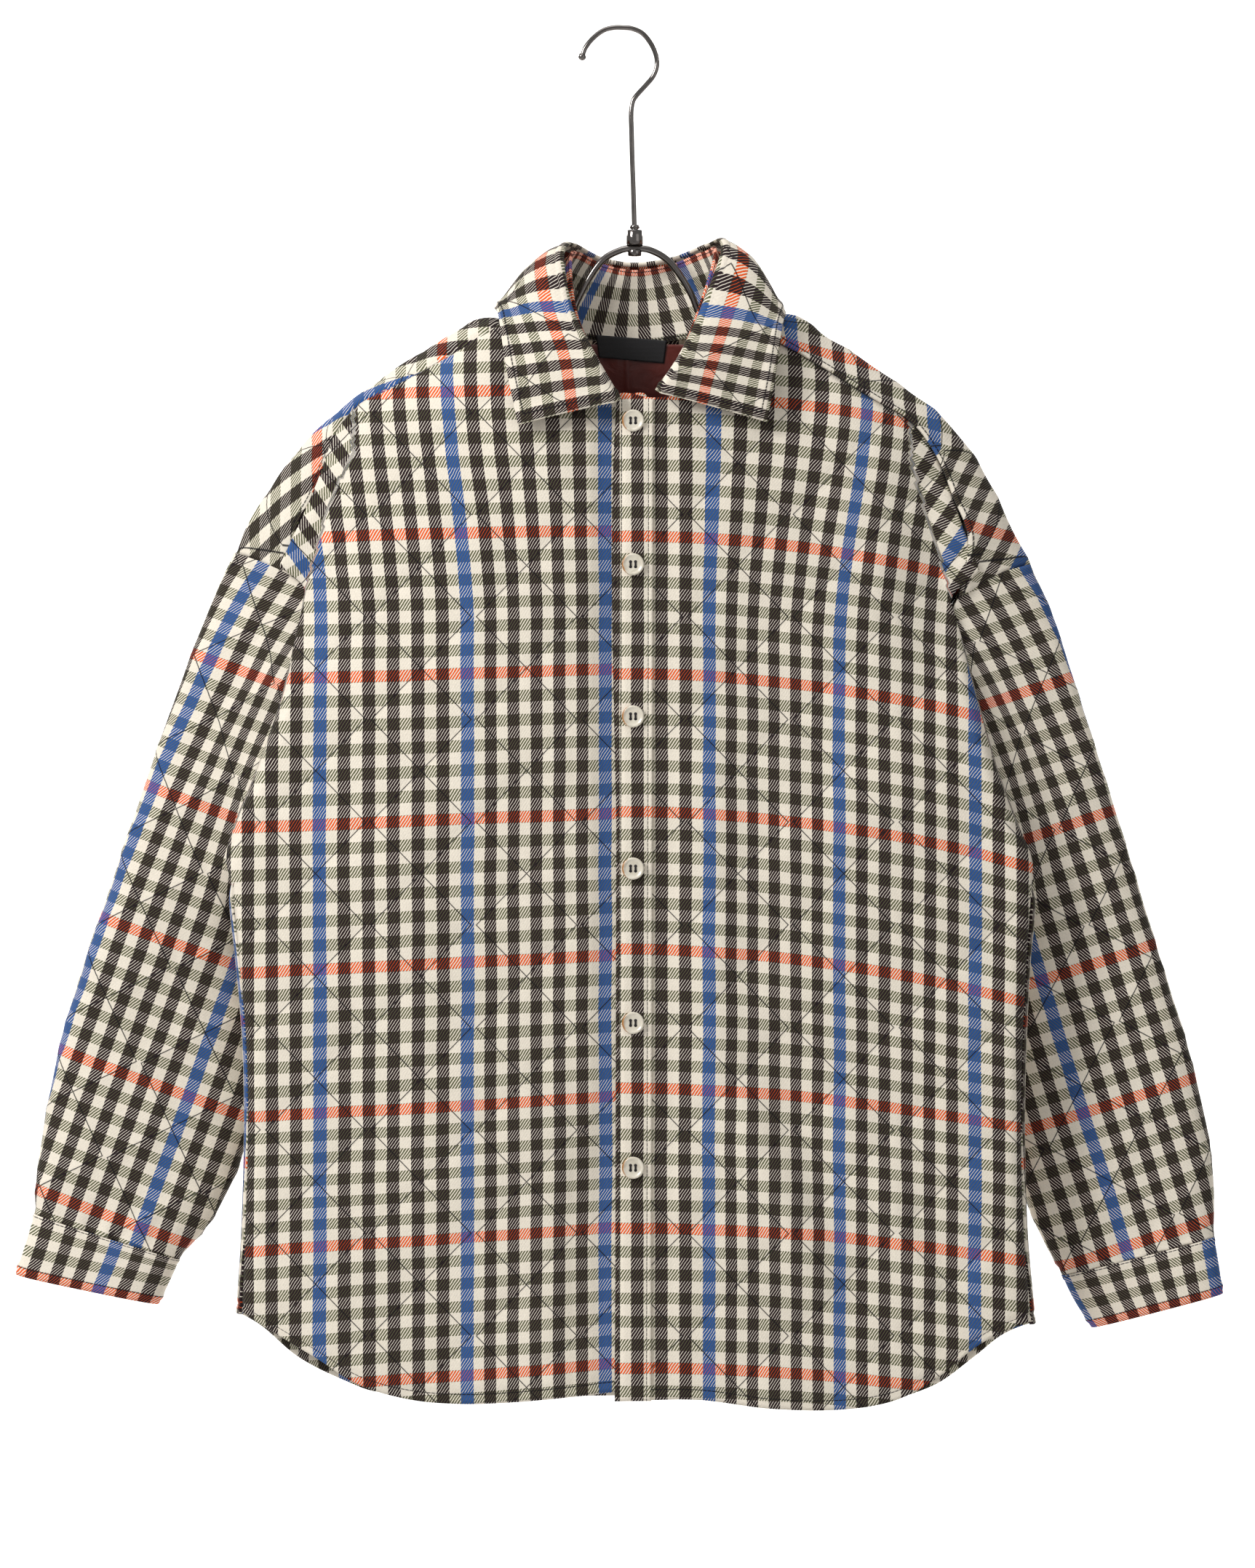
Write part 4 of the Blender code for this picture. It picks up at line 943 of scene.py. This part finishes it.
# The collar: a stand sewn to the neck, and a fall turned down over it with two leaves,
# edge-stitched. The check runs round the neck, so the blue lines cross the leaves.
COLLAR = [(-3, -50, 261, -71, -48, 276, 1.0), (-20, -49, 231, -79, -45, 236, 3.0),
          (-36, -36, 197, -84, -33, 202, 5.0), (-42, -14, 158, -86, -14, 195, 6.0),
          (-38, 10, 150, -78, 26, 200, 7.0), (-18, 27, 158, -44, 42, 224, 8.0),
          (8, 31, 162, 8, 45, 232, 8.0), (38, 27, 158, 64, 42, 224, 8.0),
          (63, 10, 150, 98, 26, 196, 7.0), (70, -12, 153, 109, -14, 196, 6.0),
          (54, -38, 200, 108, -33, 210, 5.0), (40, -49, 231, 104, -43, 240, 3.0),
          (24, -50, 255, 98, -46, 274, 1.0)]
STAND_SEAM = [(0, -37, 250), (-33, -35, 243), (-58, -27, 229), (-66, -15, 211), (-58, 4, 203),
              (-38, 14, 210), (8, 17.6, 215.6), (54, 14, 210), (76, 4, 205), (84, -15, 214),
              (77, -27, 232), (50, -35, 245), (21, -37, 250)]
# Millimetres from the roll to the orange stripe, at each station
ORANGE_INSET = (30, 15.5, 9, 9, 7, 3, 1.5, 3, 7, 8.6, 11.5, 17.5, 28.7)
COLLAR_WALL = 0.0026
STAND_WALL = 0.0022
STAND_INSET = 0.0056
COLLAR_LENGTH = 0.44
# Shares of the collar's length, and where the check stands there
CHECK_SHARES = (0, 1 / 6, 5 / 6, 1)
CHECK_PLACES = (-0.087, 0, 3 * BLUE_PITCH, 3 * BLUE_PITCH + 0.087)
STAND_MIDDLE = 5.07 / 12
STAND_SPAN = 0.539        # the check's run round the stand, if the stand went all round
STAND_HEIGHT = 0.047
ROLL_SHARE = 0.12
ROLL_RADIUS = 0.0020
ROLL_OUTWARD = 0.0040


def collar_row(s, columns):
    table = np.array(COLLAR, float) * MM
    key = s * (len(table) - 1)
    return [smooth(np.arange(len(table)), table[:, k], key) for k in columns]


def neckward(x, y):
    """Level directions from the roll towards the middle of the neck."""
    inward = np.stack((0.011 - x, -y, np.zeros_like(x)), 1)
    return inward / np.maximum(np.linalg.norm(inward, axis=1), 0.01)[:, None]


def collar_shape(s, t):
    over = np.clip(1 - t / ROLL_SHARE, 0, 1) * 0.8 * math.pi
    t = np.clip((t - ROLL_SHARE) / (1 - ROLL_SHARE), 0, 1)
    rx, ry, rdrop, ex, ey, edrop, bulge = collar_row(s, range(7))
    out = np.stack((ex - 0.008, ey, np.zeros_like(ex)), axis=1)
    out /= np.linalg.norm(out, axis=1)[:, None]
    out[:, 2] = 0.45
    roll, edge = np.stack((rx, ry, -rdrop), 1), np.stack((ex, ey, -edrop), 1)
    swell = np.sin(math.pi * t ** 0.7) * bulge
    places = roll + (edge - roll) * t[:, None] + out * swell[:, None]
    shift = (1 - np.cos(over)) * ROLL_RADIUS - ROLL_OUTWARD * (1 - t) * soft_step(-ry / 0.020)
    places += neckward(rx, ry) * shift[:, None]
    places[:, 2] += np.sin(over) * ROLL_RADIUS
    height = np.linalg.norm(edge - roll, axis=1)
    u = np.interp(s, CHECK_SHARES, CHECK_PLACES)
    v = t * height - over * ROLL_RADIUS - smooth(np.arange(13), ORANGE_INSET, s * 12) * MM
    to_end = np.minimum(s, 1 - s) * COLLAR_LENGTH
    rim = np.minimum((1 - t) * height, to_end)
    lattice = u / DIAMOND[0] + 0.3, v / DIAMOND[1] + 0.1
    fade = 0.5 * soft_step((rim - 0.006) / 0.008) * soft_step(t * height / 0.012)
    return places, (u, v), (rim, u + v), lattice, fade


def stand_shape(s, t):
    s = 0.07 + 0.86 * s
    seam = np.array(STAND_SEAM, float) * MM
    key = s * (len(seam) - 1)
    low = np.stack([smooth(np.arange(len(seam)), seam[:, k], key) for k in range(3)], axis=1)
    low[:, 2] *= -1
    rx, ry, rdrop = collar_row(s, range(3))
    high = np.stack((rx, ry, -rdrop), 1)
    inward = neckward(rx, ry)
    high = high + inward * STAND_INSET - (0, 0, 0.0015)
    places = low + (high - low) * t[:, None] - inward * (np.sin(math.pi * t) * 0.001)[:, None]
    u = (s - STAND_MIDDLE) * STAND_SPAN
    v = (t - 1.0) * STAND_HEIGHT
    rim = np.minimum(t, 1 - t) * 0.045 - TOP_STITCH + SEAM_STITCH
    return places, (u, v), (rim, u), UNQUILTED, 0.0


collar = cloth_piece("collar_fall", 230, 46, collar_shape, twill, COLLAR_WALL)
stand = cloth_piece("collar_stand_band", 130, 14, stand_shape, twill, STAND_WALL)
for piece, node, flat_size, area in ((collar, "collar", (0.47, 0.075), 0.030),
                                     (stand, "collar_stand", (0.34, 0.050), None)):
    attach(piece, "root")
    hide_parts(node)


# The lining in the open neck: rust satin, with the pleat at the centre of the back, and a
# bare black woven label sewn below the collar's seam.
LINING_WALL = 0.0010
LABEL_WALL = 0.0008
LINING_CORNER, LINING_SIZE = (-0.045, -0.216), (0.107, 0.060)
PLEAT_REACH = 0.0035
LABEL_CORNER, LABEL_SIZE = (-0.0185, -0.2095), (0.049, 0.0155)


def satin():
    """Rust satin with fine crosswise creases, with painted sheen on their ridges and painted shade
    in their hollows.
    """
    material, shader, t = recipe("rust_satin", 0.38)
    cloth = t.node("UVMap", {"uv_map": "weave"}, {})
    crease_and_shade = t.node("TexNoise", {}, {"Vector": cloth, "Scale": 70.0, "Detail": 4.0,
                                     "Distortion": 0.8})
    fine = t.node("TexNoise", {}, {"Vector": cloth, "Scale": 1500.0, "Detail": 2.0})
    # Painted shade and painted sheen: the colour follows the creases' height, darker in the hollows
    # and lighter on the ridges.
    t.feed(shader.inputs["Base Color"], crease_and_shade.mix(srgb(78, 24, 18), srgb(116, 44, 34)))
    t.feed(shader.inputs["Roughness"], crease_and_shade * 0.2 + 0.3)
    height = crease_and_shade * 1.2 + fine * 0.12
    t.feed(shader.inputs["Normal"],
           t.node("Bump", {}, {"Height": height, "Strength": 0.6, "Distance": 0.0012}))
    shader.inputs["Sheen Weight"].default_value = 0.2
    return material


def label_weave():
    """Black damask tape with its ribs."""
    material, shader, t = recipe("black_tape", 0.6)
    cloth = t.node("UVMap", {"uv_map": "weave"}, {})
    v = t.node("SeparateXYZ", {}, {0: cloth}, output=1)
    ribs = (v * (2 * math.pi / 0.0006)).math("SINE")
    grain = t.node("TexNoise", {}, {"Vector": cloth, "Scale": 1200.0})
    t.feed(shader.inputs["Base Color"], grain.mix(srgb(14, 14, 16), srgb(38, 36, 38)))
    t.feed(shader.inputs["Normal"], t.node(
        "Bump", {}, {"Height": ribs * 0.5 + grain, "Strength": 0.4, "Distance": 0.0002}))
    return material


def lining_shape(s, t):
    x, z = LINING_CORNER[0] + LINING_SIZE[0] * s, LINING_CORNER[1] - LINING_SIZE[1] * t
    pleat = 0.0010 * np.exp(-((x - PLEAT_REACH) / 0.0012) ** 2)
    y = 0.0122 + 0.006 * t - pleat + 0.0004 * np.sin(x * 210 + z * 90)
    return np.stack((x, y, z), 1), (x, z), (FAR_IN, FAR_IN), UNQUILTED, 0.0


def label_shape(s, t):
    x = LABEL_CORNER[0] + LABEL_SIZE[0] * s + 0.002 * t * (1 - 2 * s)
    z = LABEL_CORNER[1] - LABEL_SIZE[1] * t - 0.004 * s
    y = 0.0104 + 0.0018 * t - 0.0003 * np.sin(s * 5)
    return np.stack((x, y, z), 1), (x, z), (FAR_IN, FAR_IN), UNQUILTED, 0.0


lining = cloth_piece("neck_satin", 60, 30, lining_shape, satin(), LINING_WALL)
label = cloth_piece("bare_label", 40, 14, label_shape, label_weave(), LABEL_WALL)
for piece, node, slot_name, flat_size in (
        (lining, "neck_lining", "rust_lining", (0.108, 0.061)),
        (label, "neck_label", "black_label", (0.049, 0.016))):
    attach(piece, "root")
    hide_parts(node)


# The hanger: a bent steel rod plated in dark polished nickel. The hook's wire ends in a
# ball, and a turned ferrule with a small nut joins it to the bow of the arms.
HOOK_PATH = [(-28, 18), (-26, 12.5), (-20.5, 5.5), (-13, 0.0), (-6, -1.75), (0, -1.75),
             (6, -1.2), (13.5, 2.2), (19.5, 9.5), (23, 17.5), (23.5, 24.5), (21, 31.7),
             (15.5, 38.5), (10, 44.5), (7, 49), (5.8, 56.5), (6, 68.5), (6.5, 88.5),
             (7.2, 108), (8, 136)]
BOW_PATH = [(-198, 281), (-179, 264), (-151, 244), (-118, 225), (-90, 219), (-60, 213),
            (-37, 197), (-31, 186), (-23, 171), (-13, 158), (0, 151.4), (8, 150.7),
            (18, 151.6), (30, 158), (40, 170), (48, 184), (54, 197), (76, 214),
            (106, 220), (136, 228), (168, 245), (194, 264), (214, 282)]
WIRE_RADIUS = 0.00175
BOW_RADIUS = 0.0045
BOW_BEND_SHARE = 0.52     # the rod is thinner over its bend in the neck
STEM_REACH = 0.0082
BALL_RADIUS = 0.00275
BALL_PLACE = (-0.028, -0.0183)
# Radius and height of the turned parts, from the top down
FERRULE_PROFILE = [(0, -0.1345), (0.0030, -0.1347), (0.0034, -0.1355), (0.0034, -0.1368),
                   (0.0024, -0.1376), (0.0030, -0.1380), (0.0054, -0.1383), (0.0058, -0.1388),
                   (0.0058, -0.1478), (0.0054, -0.1485), (0, -0.1486)]
NUT_PROFILE = [(0, -0.1515), (0.0044, -0.1517), (0.0048, -0.1524), (0.0047, -0.1552),
               (0.0042, -0.1560), (0, -0.1561)]


def dark_nickel():
    """Dark polished plating with faint wear and dulling."""
    material, shader, t = recipe("dark_nickel", 0.22, metallic=1.0)
    spot = t.node("TexCoord", {}, {}, output=3)
    wear = t.node("TexNoise", {}, {"Vector": spot, "Scale": 120.0, "Detail": 5.0})
    t.feed(shader.inputs["Base Color"], wear.mix(srgb(104, 100, 98), srgb(142, 136, 132)))
    t.feed(shader.inputs["Roughness"], wear * 0.12 + 0.08)
    return material


nickel = dark_nickel()


def bent_rod(name, rows, radius, count, thin):
    """A rod along a table's rows. thin gives each point's share of the radius."""
    curve = bpy.data.curves.new(name, "CURVE")
    curve.dimensions = "3D"
    curve.bevel_depth = radius
    curve.bevel_resolution = 6
    curve.use_fill_caps = True
    spline = curve.splines.new("POLY")
    spline.points.add(count)
    spots = Seam(rows).at(np.linspace(0, 1, count + 1))
    for point, (x, drop) in zip(spline.points, spots):
        point.co = (x, 0.0, -drop, 1.0)
        point.radius = thin(x, drop)
    curve.materials.append(nickel)
    rod = bpy.data.objects.new(name, curve)
    bpy.context.collection.objects.link(rod)
    return rod


def bend_share(x, drop):
    return BOW_BEND_SHARE + (1 - BOW_BEND_SHARE) * float(soft_step((drop - 0.190) / 0.022))


hook = bent_rod("hook_wire", HOOK_PATH, WIRE_RADIUS, 150, lambda x, drop: 1.0)
ball_rows = [(BALL_RADIUS * math.sin(math.pi * k / 12),
              BALL_PLACE[1] - BALL_RADIUS * math.cos(math.pi * k / 12)) for k in range(13)]
ball = turned("hook_ball", ball_rows, 24, nickel, (BALL_PLACE[0], 0, 0), "z")
ferrule = turned("hook_ferrule", FERRULE_PROFILE, 32, nickel, (STEM_REACH, 0, 0), "z")
nub = turned("hook_nub", NUT_PROFILE, 28, nickel, (STEM_REACH, 0, 0), "z")
bow = bent_rod("arm_rod", BOW_PATH, BOW_RADIUS, 170, bend_share)
for piece, node in ((hook, "hanger_hook"), (ball, "hanger_hook"), (ferrule, "hanger_ferrule"),
                    (nub, "hanger_bow"), (bow, "hanger_bow")):
    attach(piece, "root")
    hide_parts(node)


# The studio: a pale wall far behind the garment, so that the back can be seen too, a pale
# floor, large soft lights on the garment and two that wash the wall.
def backdrop(name, size, place, turned_up):
    bm = bmesh.new()
    bmesh.ops.create_grid(bm, x_segments=2, y_segments=2, size=size)
    if turned_up:
        bmesh.ops.rotate(bm, verts=bm.verts, cent=(0, 0, 0),
                         matrix=Matrix.Rotation(math.radians(90), 3, "X"))
    bmesh.ops.translate(bm, verts=bm.verts, vec=place)
    material, shader, t = recipe(name, 0.9)
    shader.inputs["Base Color"].default_value = srgb(244, 243, 242)
    finished(name, bm, material)


backdrop("wall", 9.0, (0.0, 6.0, 0.0), True)
backdrop("floor", 9.0, (0.0, 0.0, -2.40), False)


def softbox(name, place, aim, size, power):
    light = bpy.data.lights.new(name, "AREA")
    light.shape = "SQUARE"
    light.size = size
    light.energy = power
    lamp = bpy.data.objects.new(name, light)
    bpy.context.collection.objects.link(lamp)
    lamp.location = place
    away = np.array(place) - np.array(aim)
    yaw = math.atan2(away[1], away[0])
    pitch = math.atan2(math.hypot(away[0], away[1]), away[2])
    lamp.rotation_euler = (0.0, pitch, yaw)


# The key light stands high on the left
softbox("key", (-2.2, -2.0, 1.1), (0, 0, -0.5), 1.2, 88)
softbox("fill", (2.0, -2.4, 0.2), (0, 0, -0.5), 2.0, 8)
softbox("top", (-0.4, -0.6, 2.0), (0, 0, -0.5), 1.6, 17)
softbox("wash_left", (-3.2, 3.2, 1.5), (0.8, 6.0, -0.6), 1.5, 190)
softbox("wash_right", (3.2, 3.2, 1.5), (-0.8, 6.0, -0.6), 1.5, 190)
world = bpy.data.worlds.new("studio")
world.use_nodes = True
world.node_tree.nodes["Background"].inputs["Color"].default_value = (1.0, 1.0, 1.0, 1.0)
world.node_tree.nodes["Background"].inputs["Strength"].default_value = 0.36
bpy.context.scene.world = world
